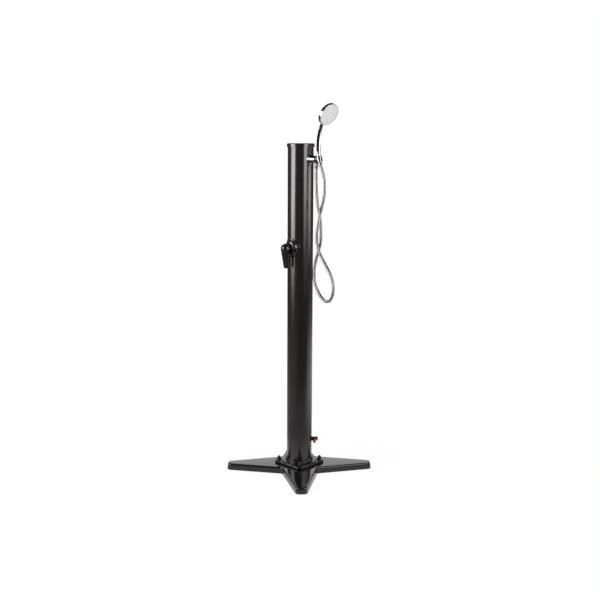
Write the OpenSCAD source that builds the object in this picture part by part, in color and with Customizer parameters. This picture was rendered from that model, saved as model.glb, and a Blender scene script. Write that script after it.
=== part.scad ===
// Free-standing solar outdoor shower: a dark round water tank on a four-armed foot,
// with a lever mixer, a hand shower on a metal hose and a small drain valve.
// Z is up, the tank axis is the Z axis and the ground is z = 0. The front is -Y.

/* [Tank tube] */
// Outside diameter of the tank tube
tube_d = 120; // [112:1:126]
// Wall of the tank tube
tube_wall = 3; // [2:0.5:4]
// Length of the tank tube
tube_len = 1528; // [1450:1:1600]
// Thickness of the plugs that close the tube
plug_t = 18; // [14:1:30]
// Depth of the lower plug above the end of the tube
plug_inset = 24; // [16:1:30]
// Cord diameter of the O-rings on the plugs
seal_d = 3.4; // [2.5:0.1:4]

/* [Top cap] */
// How far the cap's skirt stands out from the tube
cap_lip = 4; // [2.5:0.5:6]
// Height of the cap
cap_h = 18; // [14:1:30]
// Radius of the cap's upper edge
cap_edge = 4; // [1:0.5:5]
// Thickness of the cap's top
cap_top_t = 4; // [2:0.5:6]

/* [Foot] */
// Distance from the tank axis to the end of an arm
arm_reach = 351; // [300:1:380]
// Width of an arm where its edges meet the end
arm_tip_w = 51; // [46:1:60]
// Angle by which each edge of an arm opens towards the middle
arm_taper = 12.7; // [11:0.1:15]
// Corner radius at the end of an arm
arm_tip_r = 22; // [19:1:24]
// Radius of the inner corner between two arms
arm_inner_r = 18; // [10:1:30]
// Height of the top of the foot above the ground
foot_h = 32; // [28:1:40]
// Gap between the moulding's lower edge and the ground
foot_lift = 2; // [1:0.5:3]
// Radius of the rounded upper edge of the foot
foot_edge = 8; // [4:1:10]
// How far the sides of the foot lean in from bottom to top
foot_draft = 3.5; // [1:0.5:5]
// Wall of the foot moulding
foot_wall = 4; // [3:0.5:5]
// Gap between the ballast block and the moulding's side
ballast_gap = 1; // [0.5:0.5:3]
// Distance of the ballast screws from the tank axis
ballast_screw_at = 232; // [200:1:250]
// Diameter of a ballast screw
ballast_screw_d = 6; // [4:0.5:8]
// Diameter of a rubber foot
pad_d = 26; // [20:1:32]
// Gap between an inner rubber foot and the moulding's wall
pad_gap = 5; // [3:0.5:10]
// Thickness of a rubber foot
pad_t = 5; // [4:0.5:6]

/* [Flange] */
// How far the flange's flats stand out from the round step
flange_lip = 6.5; // [4:0.5:10]
// Corner radius of the flange
flange_r = 28; // [22:1:34]
// Thickness of the flange
flange_t = 12.5; // [10:0.5:16]
// Radius of the flange's upper edge
flange_edge = 3.5; // [2:0.5:5]
// Height of the round step on the flange
step_h = 4; // [2:0.5:6]
// Outside diameter of the round step
step_d = 170; // [160:1:174]
// Height of the flange's top above the collar's foot, to the collar's upper end
collar_h = 20; // [14:1:24]
// Wall of the collar round the tube
collar_wall = 5.5; // [5:0.5:8]
// Thickness of the ledge that the tube stands on
seat_t = 4; // [3:0.5:6]
// Distance from the round step's edge to the middle of a foot bolt
bolt_gap = 13.5; // [12:0.5:16]
// Diameter of a foot bolt
bolt_d = 10; // [8:1:10]
// Width of a cap nut across its flats
nut_af = 17; // [16:0.5:19]
// Full height of a cap nut
nut_h = 18.5; // [16:0.5:22]
// Thickness of a washer under a cap nut
washer_t = 2; // [1:0.5:3]
// Diameter of a clamping screw in the collar
grub_d = 6; // [4:1:6]

/* [Mixer] */
// Distance of the mixer's axis below the upper end of the tube
mixer_drop = 477; // [380:1:600]
// Direction of the mixer round the tank, from the front towards the right
mixer_a = -50; // [-60:1:-40]
// Diameter of the rosette that wraps the tube
rosette_d = 91; // [84:1:96]
// Height of the rosette's dome above the tube
rosette_h = 9.5; // [7:0.5:11]
// Thickness of the rosette's gasket
gasket_t = 1.4; // [1:0.2:2]
// Diameter of the valve body that passes through the tube
valve_d = 36; // [32:1:38]
// Length of the valve body inside the tube's surface
valve_depth = 36; // [32:1:40]
// Distance of the valve's pipe sockets from the tube's surface
port_in = 28; // [26:1:30]
// Diameter of the spindle that the handle turns on
spindle_d = 18; // [14:0.5:20]
// Length of that spindle
spindle_len = 5.5; // [4:0.5:7]
// Running clearance of shafts and pins, on the radius
run_gap = 0.05; // [0.02:0.01:0.1]
// Diameter of the turning head where it meets the valve
head_d = 33; // [30:1:34]
// Diameter of the ball of the turning head
head_ball_d = 35; // [33:0.5:37]
// Distance of the lever's pin, and of that ball's middle, from the tube's surface
pin_out = 26; // [25:0.5:28]
// Diameter of the lever's pin
pin_d = 4; // [3:0.5:5]
// Diameter of the hollow ball at the top of the lever
lever_ball_d = 45; // [44:0.5:48]
// Distance of the middle of the lever's ball from the tube's surface
lever_ball_out = 31; // [30:0.5:32]
// Distance of the rim of the lever's ball from the tube's surface
lever_rim_out = 28; // [27:0.5:29]
// Gap between the head and the inside of the lever's ball
ball_gap = 1; // [0.8:0.1:1.5]
// Length of the lever below the mixer's axis
lever_len = 94; // [70:1:110]
// Width of the lever at the mixer's axis
lever_w = 44; // [38:1:45]
// Width of the lever near its lower end
lever_end_w = 26; // [18:1:32]
// Thickness of the lever at the mixer's axis
lever_t = 15; // [11:0.5:18]
// Thickness of the lever near its lower end
lever_end_t = 11; // [8:0.5:13]
// Angle by which the lever leans in towards the tank
lever_lean = 4.8; // [0:0.1:7]

/* [Outlet and holder] */
// Distance of the outlet's axis below the upper end of the tube
outlet_drop = 68; // [60:1:120]
// Direction of the outlet round the tank, from the front towards the right
outlet_a = 45; // [35:1:55]
// Diameter of the outlet's base on the tube
outlet_base_d = 42; // [38:1:46]
// Length of the outlet from the tube's surface to the holder
outlet_len = 43.5; // [41:0.5:48]
// Length of the outlet's thread inside the tube's surface
outlet_thread_len = 22; // [18:1:28]
// Diameter of the outlet's barrel
outlet_end_d = 33; // [28:1:36]
// Diameter of the arm between the outlet and the holder
holder_arm_d = 18.5; // [14:0.5:20]
// Bore of the waterway
water_d = 9; // [7:0.5:10]
// Distance of the hose nipple from the tube's surface
nipple_out = 37; // [35:0.5:39]
// Diameter of the nipple's thread
nipple_d = 15; // [13:0.5:16]
// Diameter of the nut that joins the hose to the nipple
hose_nut_d = 20; // [19:0.5:22]
// Distance of the holder's middle from the tube's surface
cradle_out = 57.5; // [56:0.5:62]
// Outside diameter of the holder's ring
cradle_d = 28; // [27:0.5:31]
// Height of the holder's ring
cradle_h = 22; // [18:1:26]
// Angle by which the holder leans
cradle_lean = 16; // [12:0.5:20]
// Width of the slot that lets the hose into the holder
cradle_slot = 15; // [14.5:0.5:17]
// Gap between the hose nut and the holder
cone_gap = 0.3; // [0.2:0.1:0.6]

/* [Hand shower] */
// Length of the hose nut that sits in the holder
cone_len = 34; // [30:1:40]
// Diameter of that nut at its lower end
cone_low_d = 17.5; // [16:0.5:18.5]
// Diameter of that nut at its upper end
cone_top_d = 24.4; // [23:0.2:25]
// Diameter of the handle's middle
handle_d = 23; // [20:0.5:26]
// Height of the handle from the nut to the head
grip_len = 179; // [165:1:190]
// Diameter of the shower head
head_face_d = 106; // [98:1:112]
// Angle by which the head looks down
head_down = 29; // [20:0.5:34]
// Thickness of the head's rim
head_rim_t = 17; // [14:0.5:20]
// Depth of the head's domed back behind the rim
head_back = 14; // [10:0.5:18]
// Diameter of the spray plate
plate_d = 94; // [86:1:96]
// Thickness of the spray plate
plate_t = 7; // [5:0.5:9]
// Diameter of the boss that the spray plate turns on
plate_boss_d = 16; // [12:0.5:20]
// Number of rings of nozzles
nozzle_rings = 4; // [2:1:5]
// Diameter of a nozzle
nozzle_d = 2.6; // [2:0.2:3.4]

/* [Drain valve] */
// Height of the drain's axis above the ground
drain_z = 149; // [125:1:200]
// Direction of the drain round the tank, from the front towards the right
drain_a = 90; // [80:1:100]
// Diameter of the drain valve's body
drain_d = 19; // [18:0.5:21]
// Distance of the handle's axis from the tube's surface
drain_out = 17.5; // [17:0.5:20]
// Diameter of the ball
ball_d = 13.6; // [12:0.2:14]
// Bore of the ball
ball_bore = 7; // [5:0.5:8]
// Diameter of the valve's stem
stem_d = 5; // [4:0.2:5.4]
// Length of the handle over both wings
wing_len = 34; // [28:1:35]
// Width of a wing at its end
wing_w = 13; // [10:0.5:15]
// Thickness of the handle
wing_t = 4; // [3:0.5:5]
// Angle of the closed handle from upright
wing_lean = 25; // [0:1:45]

/* [Inlet] */
// Height of the inlet's axis above the ground
inlet_z = 120; // [110:1:160]
// Diameter of the inlet's flange
inlet_d = 32; // [28:1:36]
// Diameter of the inlet's thread in the tube
inlet_thread_d = 20.8; // [18:0.2:22]
// Diameter of the spigot that the garden hose coupling grips
spigot_d = 16; // [15:0.1:17]

/* [Pipes and hose] */
// Diameter of the pipes inside the tank
pipe_d = 10; // [8:0.5:11]
// Height that a pipe takes for one step of its bend
pipe_step = 40; // [30:1:50]
// Outside diameter of the shower hose
hose_d = 14; // [12:0.5:15]
// Length of the ferrules on the hose
ferrule_len = 9; // [6:0.5:12]

/* [Hidden] */

$fn = 64;
fit = 0.15;   // play between fixed pieces that slip together
skin = 0.25;  // play between a saddle and the tube's surface
tube_r = tube_d / 2;
bore_r = tube_r - tube_wall;
seat_z = foot_h + seat_t;
tube_top = seat_z + tube_len;
flange_top = foot_h + flange_t;
flange_w = step_d + 2 * flange_lip;
bolt_at = step_d / 2 + bolt_gap;
mixer_z = tube_top - mixer_drop;
outlet_z = tube_top - outlet_drop;
collar_top = flange_top + collar_h;
cap_r = tube_r + cap_lip;
ballast_z0 = foot_lift + 1;
ballast_z1 = foot_h - foot_wall;
ballast_in = foot_draft + foot_wall + ballast_gap;
pad_z1 = pad_t;
nut_z = flange_top + washer_t;
bolt_head_h = 6;
bolt_head_z = ballast_z0 + 1;
gasket_r = tube_r + gasket_t + skin;
rosette_front = gasket_r + rosette_h;
valve_front = rosette_front + 1;
pin_at = tube_r + pin_out;
outlet_end = tube_r + outlet_len;
nipple_at = tube_r + nipple_out;
cradle_at = tube_r + cradle_out;
nipple_z = outlet_z - outlet_end_d / 2 - 9.5;
outlet_nut_z = nipple_z + 7;
outlet_ferrule_z = nipple_z - 19;
port_z = 30;
drain_at = tube_r + drain_out;
inlet_elbow = tube_r - 24;

// Points of the hose along its way, as distance from the tank axis in the outlet's
// direction, distance to the side of that direction, and depth below the outlet's axis
hose_route = [
    [97, 0, 71], [98, 0, 106], [102, -2, 146], [109, -5, 184], [118, -8, 220], [129, -10, 256],
    [136, -9, 296], [133, -4, 341], [123, 4, 381], [108, 10, 414], [92, 14, 449], [81, 15, 486],
    [77, 14, 526], [82, 12, 563], [98, 8, 595], [125, 1, 623], [158, -10, 641], [192, -21, 643],
    [220, -30, 628], [237, -36, 600], [240, -37, 564], [226, -33, 529], [201, -26, 499],
    [171, -19, 469], [143, -14, 439], [122, -10, 408], [109, -6, 373], [104, 0, 334],
    [107, 6, 294], [113, 9, 256], [126, 8, 216], [140, 5, 176], [147, 3, 136], [147, 1, 96],
    [138, 0, 59]
];

// Placing and shapes

// Local X points away from the tank, Y to the side and Z up, at angle a and height z
module at(a, z) {
    rotate([0, 0, a - 90]) translate([0, 0, z]) children();
}

// Local Z points away from the tank, starting r from its axis
module outward(a, z, r) {
    at(a, z) translate([r, 0, 0]) rotate([0, 90, 0]) children();
}

function arc(cx, cy, r, a0, a1, n) = [
    for (i = [0 : n]) let (a = a0 + (a1 - a0) * i / n) [cx + r * cos(a), cy + r * sin(a)]
];
function turned(p, a) = [p[0] * cos(a) - p[1] * sin(a), p[0] * sin(a) + p[1] * cos(a)];
function unit(v) = v / norm(v);

// Closed skin through rings that all have the same number of points, with an end that
// fans out from the middle of the first and of the last ring
function middle(r) = [for (k = [0 : 2]) [for (p = r) p[k]] * [for (p = r) 1] / len(r)];
module skin_rings(rings) {
    n = len(rings[0]);
    m = len(rings);
    polyhedron(concat([for (r = rings) for (p = r) p], [middle(rings[0]), middle(rings[m - 1])]), [
        for (j = [0 : n - 1]) let (k = (j + 1) % n) each concat(
            [for (i = [0 : m - 2]) each [
                [i * n + j, (i + 1) * n + k, i * n + k], [i * n + j, (i + 1) * n + j, (i + 1) * n + k]]],
            [[m * n, j, k], [m * n + 1, (m - 1) * n + k, (m - 1) * n + j]])
    ]);
}

// Outline of the four-armed foot, moved in by d all round
edge_y = arm_tip_w / 2 + arm_reach * tan(arm_taper);
tip_x = arm_reach - arm_tip_r;
tip_y = edge_y - tip_x * tan(arm_taper) - arm_tip_r / cos(arm_taper);
inner_xy = (edge_y * cos(arm_taper) + arm_inner_r) / (sin(arm_taper) + cos(arm_taper));
inner_pad_at = inner_xy * sqrt(2) - arm_inner_r - foot_draft - foot_wall - pad_gap - pad_d / 2;
function cross_outline(d) = [
    for (q = [0 : 3]) for (p = concat(
        arc(tip_x, -tip_y, arm_tip_r - d, arm_taper - 90, 0, 4),
        arc(tip_x, tip_y, arm_tip_r - d, 0, 90 - arm_taper, 4),
        arc(inner_xy, inner_xy, arm_inner_r + d, 270 - arm_taper, 180 + arm_taper, 5)))
        turned(p, 90 * q)
];
function cross_ring(d, z) = [for (p = cross_outline(d)) [p[0], p[1], z]];

// Outline of a square with rounded corners on the X and Y axes, moved in by d
function square_outline(w, r, d) = [
    for (q = [0 : 3]) for (p = arc(w / 2 - r, w / 2 - r, r - d, 0, 90, 8)) turned(p, 90 * q - 45)
];
function square_ring(w, r, d, z) = [for (p = square_outline(w, r, d)) [p[0], p[1], z]];

// Smooth curve through points, with a given number of steps to each span
function spline_at(a, b, c, d, t) =
    0.5 * (2 * b + (c - a) * t + (2 * a - 5 * b + 4 * c - d) * t * t + (3 * b - a - 3 * c + d) * t * t * t);
function spline(p, steps) = let (n = len(p) - 1) concat([
    for (i = [0 : n - 1]) for (s = [0 : steps - 1])
        spline_at(p[max(i - 1, 0)], p[i], p[i + 1], p[min(i + 2, n)], s / steps)
], [p[n]]);

// Round tube along a line; side is a direction that the line never follows
function tube_rings(line, r, n, side) = let (m = len(line) - 1) [
    for (i = [0 : m])
        let (t = unit(line[min(i + 1, m)] - line[max(i - 1, 0)]),
             u = unit(cross(side, t)), v = cross(t, u))
        [for (j = [0 : n - 1]) line[i] + r * (cos(360 * j / n) * u + sin(360 * j / n) * v)]
];

// Plate that wraps the tube: each row is its distance from the middle, its height above
// the radius r, and how far it follows the tube's curve
module saddle(rows, r, n) {
    m = len(rows);
    points = [
        for (w = rows) for (j = [0 : n - 1])
            let (y = w[0] * cos(360 * j / n), z = w[0] * sin(360 * j / n))
            [sqrt(r * r - pow(y * w[2], 2)) + w[1], y, z]
    ];
    polyhedron(points, [
        for (i = [0 : m - 1]) for (j = [0 : n - 1])
            let (k = (j + 1) % n, a = i * n, b = ((i + 1) % m) * n)
            each [[a + j, a + k, b + k], [a + j, b + k, b + j]]
    ]);
}

// Round gasket bent over the tube, with a hole
module tube_gasket(a, z, d, hole_d) {
    difference() {
        intersection() {
            outward(a, z, tube_r / 2) cylinder(d = d, h = tube_r);
            translate([0, 0, z - d]) cylinder(r = gasket_r - fit, h = 2 * d);
        }
        translate([0, 0, z - d - 1]) cylinder(r = tube_r + fit / 2, h = 2 * d + 2);
        outward(a, z, tube_r / 2) cylinder(d = hole_d, h = tube_r);
    }
}

// Flat round nut inside the tube, its face on the wall
module inner_nut(a, z, d, hole_d, t) {
    face = sqrt(pow(bore_r - fit, 2) - pow(d / 2, 2));
    outward(a, z, face - t) difference() {
        cylinder(d = d, h = t);
        translate([0, 0, -1]) cylinder(d = hole_d + 2 * fit, h = t + 2);
        for (q = [0 : 3]) rotate([0, 0, 90 * q + 45]) translate([d / 2, 0, -1]) cylinder(d = d / 6, h = t + 2);
    }
}

// Foot

module base_cross() {
    color([0.09, 0.08, 0.08]) difference() {
        skin_rings(concat(
            [cross_ring(0.8, foot_lift), cross_ring(0, foot_lift + 0.8)],
            [for (i = [0 : 6]) let (a = 15 * i)
                cross_ring(foot_draft + foot_edge * (1 - cos(a)), foot_h - foot_edge * (1 - sin(a)))]));
        skin_rings([
            cross_ring(foot_wall, foot_lift - 1), cross_ring(foot_wall, foot_lift),
            cross_ring(foot_draft + foot_wall, foot_h - foot_edge),
            cross_ring(foot_draft + foot_wall + foot_edge / 2, foot_h - foot_wall)
        ]);
        for (q = [0 : 3]) rotate([0, 0, 90 * q]) translate([bolt_at, 0, 0])
            cylinder(d = bolt_d + 0.6, h = foot_h + 1);
    }
    color([0.09, 0.08, 0.08]) for (q = [0 : 3]) rotate([0, 0, 90 * q])
        translate([ballast_screw_at, 0, ballast_z0 + 9]) difference() {
            cylinder(d = ballast_screw_d + 8, h = foot_h - foot_wall - ballast_z0 - 8.5);
            translate([0, 0, -1]) cylinder(d = ballast_screw_d + 2 * run_gap, h = foot_h - foot_wall - ballast_z0 - 9);
        }
}

module base_ballast() {
    color([0.45, 0.44, 0.42]) difference() {
        translate([0, 0, ballast_z0]) linear_extrude(ballast_z1 - ballast_z0 - foot_edge / 2)
            polygon(cross_outline(ballast_in));
        ballast_holes();
    }
    color([0.45, 0.44, 0.42]) difference() {
        translate([0, 0, ballast_z1 - foot_edge / 2]) linear_extrude(foot_edge / 2)
            polygon(cross_outline(ballast_in + foot_edge / 2));
        ballast_holes();
    }
}

module ballast_holes() {
    for (q = [0 : 3]) rotate([0, 0, 90 * q]) {
        translate([bolt_at, 0, 0]) cylinder(d = bolt_d + 0.6, h = foot_h);
        translate([bolt_at, 0, -1]) cylinder(d = 2 * bolt_d + 2, h = bolt_head_z + bolt_head_h + 1);
        translate([ballast_screw_at, 0, 0]) cylinder(d = ballast_screw_d + 9, h = foot_h);
        translate([arm_reach - 2 * arm_tip_r, 0, -1]) cylinder(d = pad_d + 0.4, h = pad_z1 + 1);
        rotate([0, 0, 45]) translate([inner_pad_at, 0, -1]) cylinder(d = pad_d + 0.4, h = pad_z1 + 1);
    }
}

module ballast_screws() {
    color([0.6, 0.6, 0.6]) for (q = [0 : 3]) rotate([0, 0, 90 * q]) translate([ballast_screw_at, 0, 0]) {
        difference() {
            union() {
                translate([0, 0, ballast_z0 - 2]) cylinder(d = ballast_screw_d + 16, h = 2);
                translate([0, 0, ballast_z0 - 0.5]) cylinder(d = ballast_screw_d, h = foot_h - foot_wall - ballast_z0 - 2);
            }
            translate([0, 0, ballast_z0 - 3]) cylinder(d = ballast_screw_d * 0.7, h = 3, $fn = 6);
        }
    }
}

module base_feet() {
    color([0.12, 0.12, 0.12]) for (q = [0 : 3]) rotate([0, 0, 90 * q]) {
        translate([arm_reach - 2 * arm_tip_r, 0, 0]) cylinder(d = pad_d, h = pad_t);
        rotate([0, 0, 45]) translate([inner_pad_at, 0, 0]) cylinder(d = pad_d, h = pad_t);
    }
}

// Flange and its fasteners

module foot_flange() {
    color([0.1, 0.09, 0.09]) difference() {
        union() {
            skin_rings(concat(
                [square_ring(flange_w, flange_r, 1, foot_h), square_ring(flange_w, flange_r, 0, foot_h + 1)],
                [for (i = [0 : 4]) let (a = 22.5 * i)
                    square_ring(flange_w, flange_r, flange_edge * (1 - cos(a)),
                        flange_top - flange_edge * (1 - sin(a)))]));
            rotate_extrude() polygon([
                [tube_r - 6, foot_h + 1], [step_d / 2 + step_h, foot_h + 1], [step_d / 2 + step_h, flange_top - 0.5],
                [step_d / 2 + step_h / 2, flange_top + step_h / 4], [step_d / 2, flange_top + step_h * 0.8],
                [step_d / 2 - 3, flange_top + step_h], [tube_r + collar_wall + 7, flange_top + step_h],
                [tube_r + collar_wall + 3, flange_top + step_h + 1.2],
                [tube_r + collar_wall + 1, flange_top + step_h + 5],
                [tube_r + collar_wall, collar_top - 2], [tube_r + collar_wall - 0.7, collar_top - 0.7],
                [tube_r + collar_wall - 2, collar_top], [tube_r - 6, collar_top]
            ]);
        }
        translate([0, 0, foot_h - 1]) cylinder(r = tube_r - 10, h = 200);
        translate([0, 0, seat_z]) cylinder(r = tube_r + fit, h = 200);
        for (q = [0 : 3]) rotate([0, 0, 90 * q]) translate([bolt_at, 0, foot_h - 1])
            cylinder(d = bolt_d + 0.6, h = flange_t + 3);
        for (a = [60, 180, 300]) outward(a, collar_top - 6, tube_r - 5) cylinder(d = grub_d + 2 * run_gap, h = 20);
    }
}

module flange_bolts() {
    color([0.6, 0.6, 0.6]) for (q = [0 : 3]) rotate([0, 0, 90 * q]) translate([bolt_at, 0, bolt_head_z]) {
        cylinder(d = 1.9 * bolt_d, h = bolt_head_h, $fn = 6);
        cylinder(d = bolt_d, h = nut_z + nut_h - 7 - bolt_head_z);
    }
}

module flange_washers() {
    color([0.12, 0.12, 0.12]) for (q = [0 : 3]) rotate([0, 0, 90 * q]) translate([bolt_at, 0, flange_top]) difference() {
        cylinder(d = 2 * bolt_d, h = washer_t);
        translate([0, 0, -1]) cylinder(d = bolt_d + 0.6, h = washer_t + 2);
    }
}

module flange_cap_nuts() {
    hex_h = nut_h * 0.48;
    dome = nut_h - hex_h - nut_af * 0.12;
    color([0.08, 0.08, 0.08]) for (q = [0 : 3]) rotate([0, 0, 90 * q]) translate([bolt_at, 0, nut_z]) difference() {
        union() {
            intersection() {
                rotate([0, 0, 15]) cylinder(d = nut_af / cos(30), h = hex_h, $fn = 6);
                cylinder(r1 = nut_af / 2 + 4, r2 = nut_af / 2 + 0.3, h = hex_h);
            }
            rotate_extrude() polygon(concat([[0, hex_h - 0.5], [nut_af * 0.44, hex_h - 0.5],
                [nut_af * 0.44, hex_h + nut_af * 0.12]],
                [for (a = [15 : 15 : 90]) [nut_af * 0.44 * cos(a), hex_h + nut_af * 0.12 + dome * sin(a)]]));
        }
        translate([0, 0, -1]) cylinder(d = bolt_d + 2 * run_gap, h = nut_h - 5);
    }
}

module collar_screws() {
    color([0.5, 0.5, 0.5]) for (a = [60, 180, 300]) outward(a, collar_top - 6, tube_r + fit) difference() {
        cylinder(d = grub_d, h = collar_wall - 0.4);
        translate([0, 0, collar_wall / 2]) cylinder(d = grub_d * 0.55, h = collar_wall, $fn = 6);
    }
}

// Tank

module tank_tube() {
    color([0.13, 0.115, 0.12]) difference() {
        translate([0, 0, seat_z]) cylinder(r = tube_r, h = tube_len, $fn = 96);
        translate([0, 0, seat_z - 1]) cylinder(r = bore_r, h = tube_len + 2, $fn = 96);
        outward(mixer_a, mixer_z, tube_r / 2) cylinder(d = valve_d + 2 * fit, h = tube_r);
        outward(outlet_a, outlet_z, tube_r / 2) cylinder(d = inlet_thread_d + 2 * fit, h = tube_r);
        outward(drain_a, drain_z, tube_r / 2) cylinder(d = 14 + 2 * fit, h = tube_r);
        outward(180, inlet_z, tube_r / 2) cylinder(d = inlet_thread_d + 2 * fit, h = tube_r);
    }
}

// Plug with a groove for its ring
module plug(z) {
    translate([0, 0, z]) rotate_extrude($fn = 96) polygon([
        [0, 0], [bore_r - fit - 1, 0], [bore_r - fit, 1],
        [bore_r - fit, plug_t / 2 - seal_d * 0.6], [bore_r - seal_d, plug_t / 2 - seal_d * 0.6],
        [bore_r - seal_d, plug_t / 2 + seal_d * 0.6], [bore_r - fit, plug_t / 2 + seal_d * 0.6],
        [bore_r - fit, plug_t - 1], [bore_r - fit - 1, plug_t], [bore_r - 14, plug_t],
        [bore_r - 18, plug_t - 5], [0, plug_t - 5]
    ]);
}

module plug_seal(z) {
    translate([0, 0, z + plug_t / 2]) rotate_extrude($fn = 96)
        translate([bore_r - seal_d / 2 - 0.05, 0]) circle(d = seal_d - 0.15, $fn = 24);
}

module bottom_plug() {
    color([0.2, 0.2, 0.2]) plug(seat_z + plug_inset);
}

module bottom_seal() {
    color([0.1, 0.1, 0.1]) plug_seal(seat_z + plug_inset);
}

module top_plug() {
    color([0.2, 0.2, 0.2]) translate([0, 0, 2 * (tube_top - 16) - plug_t]) mirror([0, 0, 1]) plug(tube_top - 16 - plug_t);
}

module top_seal() {
    color([0.1, 0.1, 0.1]) plug_seal(tube_top - 16 - plug_t);
}

module top_cap() {
    z1 = tube_top + cap_top_t;
    z0 = z1 - cap_h;
    color([0.05, 0.05, 0.05]) rotate_extrude($fn = 96) polygon(concat(
        [[0, z1], [0, tube_top], [tube_r + fit, tube_top], [tube_r + fit, z0],
         [cap_r - 0.8, z0], [cap_r, z0 + 0.8]],
        [for (a = [0 : 15 : 90]) [cap_r - cap_edge * (1 - cos(a)), z1 - cap_edge * (1 - sin(a))]]));
}

// Water inlet at the back

module inlet_gasket() {
    color([0.1, 0.1, 0.1]) tube_gasket(180, inlet_z, inlet_d, inlet_thread_d + 0.6);
}

module inlet_body() {
    color([0.75, 0.65, 0.4]) difference() {
        union() {
            outward(180, inlet_z, 0) rotate_extrude() polygon([
                [0, inlet_elbow - 8], [8.5, inlet_elbow - 8], [inlet_thread_d / 2, inlet_elbow],
                [inlet_thread_d / 2, tube_r - 8], [inlet_thread_d / 2, tube_r - 4],
                [inlet_d / 2, tube_r - 4], [inlet_d / 2, gasket_r + 4], [inlet_d / 2 - 1, gasket_r + 5],
                [inlet_d / 2 - 4, gasket_r + 5], [inlet_d / 2 - 4, gasket_r + 12], [0, gasket_r + 12]
            ]);
            at(180, inlet_z) translate([inlet_elbow, 0, 0]) cylinder(r = pipe_d / 2 + 3, h = 18);
        }
        saddle_cut(180, inlet_z, inlet_d + 1, inlet_thread_d);
        outward(180, inlet_z, inlet_elbow - 2) cylinder(d = water_d, h = 60);
        at(180, inlet_z) translate([inlet_elbow, 0, 0]) cylinder(d = water_d, h = 30);
    }
}

// Takes away what lies under the gasket's outer face, outside a thread
module saddle_cut(a, z, d, thread_d) {
    difference() {
        intersection() {
            outward(a, z, tube_r - 20) cylinder(d = d + 2, h = 30);
            translate([0, 0, z - d]) cylinder(r = gasket_r, h = 2 * d);
        }
        outward(a, z, 0) cylinder(d = thread_d, h = 200);
    }
}

module inlet_locknut() {
    color([0.75, 0.65, 0.4]) inner_nut(180, inlet_z, inlet_d, inlet_thread_d, 5);
}

module inlet_spigot() {
    color([0.12, 0.12, 0.12]) outward(180, inlet_z, gasket_r + 12) difference() {
        rotate_extrude() polygon([
            [0, 0], [inlet_d / 2 - 2, 0], [inlet_d / 2 - 2, 9], [inlet_d / 2 - 4, 10],
            [spigot_d / 2 + 0.8, 10], [spigot_d / 2 + 0.8, 14], [spigot_d / 2 - 1.5, 15.5],
            [spigot_d / 2 - 1.5, 18], [spigot_d / 2, 19.5], [spigot_d / 2, 29], [spigot_d / 2 - 1.2, 31], [0, 31]
        ]);
        translate([0, 0, -1]) cylinder(d = water_d + 1, h = 40);
    }
}

// Pipes inside the tank

// Point beside the mixer's axis, x away from the tank and y to the side
function mixer_xy(x, y) = [x * sin(mixer_a) + y * cos(mixer_a), -x * cos(mixer_a) + y * sin(mixer_a)];
port_at = tube_r - port_in;
port_side = pipe_d / 2 + 4;

module cold_pipe() {
    e = mixer_xy(port_at, 0);
    s = [0, inlet_elbow];
    top = mixer_z - port_z;
    low = inlet_z + 18;
    k = pipe_step;
    mid = (top - 6.5 * k - low) / 3;
    line = spline([[s[0], s[1], low], [s[0], s[1], low + mid], [s[0], s[1], low + 2 * mid], [s[0], s[1], top - 6.5 * k],
        [0.9 * s[0] + 0.1 * e[0], 0.9 * s[1] + 0.1 * e[1], top - 5 * k],
        [0.5 * s[0] + 0.5 * e[0], 0.5 * s[1] + 0.5 * e[1], top - 3.5 * k],
        [0.1 * s[0] + 0.9 * e[0], 0.1 * s[1] + 0.9 * e[1], top - 2 * k],
        [e[0], e[1], top - k], [e[0], e[1], top]], 3);
    color([0.85, 0.85, 0.82]) skin_rings(tube_rings(line, pipe_d / 2, 12, unit([s[1] - e[1], e[0] - s[0], 0])));
}

module hot_pipe() {
    p = mixer_xy(port_at, -port_side);
    color([0.8, 0.3, 0.25]) translate([p[0], p[1], mixer_z + port_z]) difference() {
        cylinder(d = pipe_d, h = tube_top - 16 - plug_t - 18 - mixer_z - port_z);
        translate([0, 0, -1]) cylinder(d = pipe_d - 3, h = tube_len);
    }
}

module mixed_pipe() {
    p = mixer_xy(port_at, port_side);
    o = [sin(outlet_a), -cos(outlet_a)];
    ox = tube_r - outlet_thread_len;
    k = pipe_step;
    line = spline([[p[0], p[1], mixer_z + port_z], [p[0], p[1], mixer_z + port_z + 1.5 * k],
        [p[0], p[1], outlet_z - 2.75 * k], [p[0], p[1], outlet_z - 1.5 * k],
        [0.8 * p[0], 0.8 * p[1], outlet_z - 0.65 * k], [0.3 * p[0], 0.3 * p[1], outlet_z - 0.15 * k],
        [0.4 * ox * o[0], 0.4 * ox * o[1], outlet_z], [ox * o[0], ox * o[1], outlet_z]], 3);
    color([0.85, 0.85, 0.82]) skin_rings(tube_rings(line, pipe_d / 2 - 0.5, 12, [cos(outlet_a), sin(outlet_a), 0]));
}

// Mixer

module mixer_gasket() {
    color([0.1, 0.1, 0.1]) tube_gasket(mixer_a, mixer_z, rosette_d - 5, valve_d + 1);
}

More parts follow.
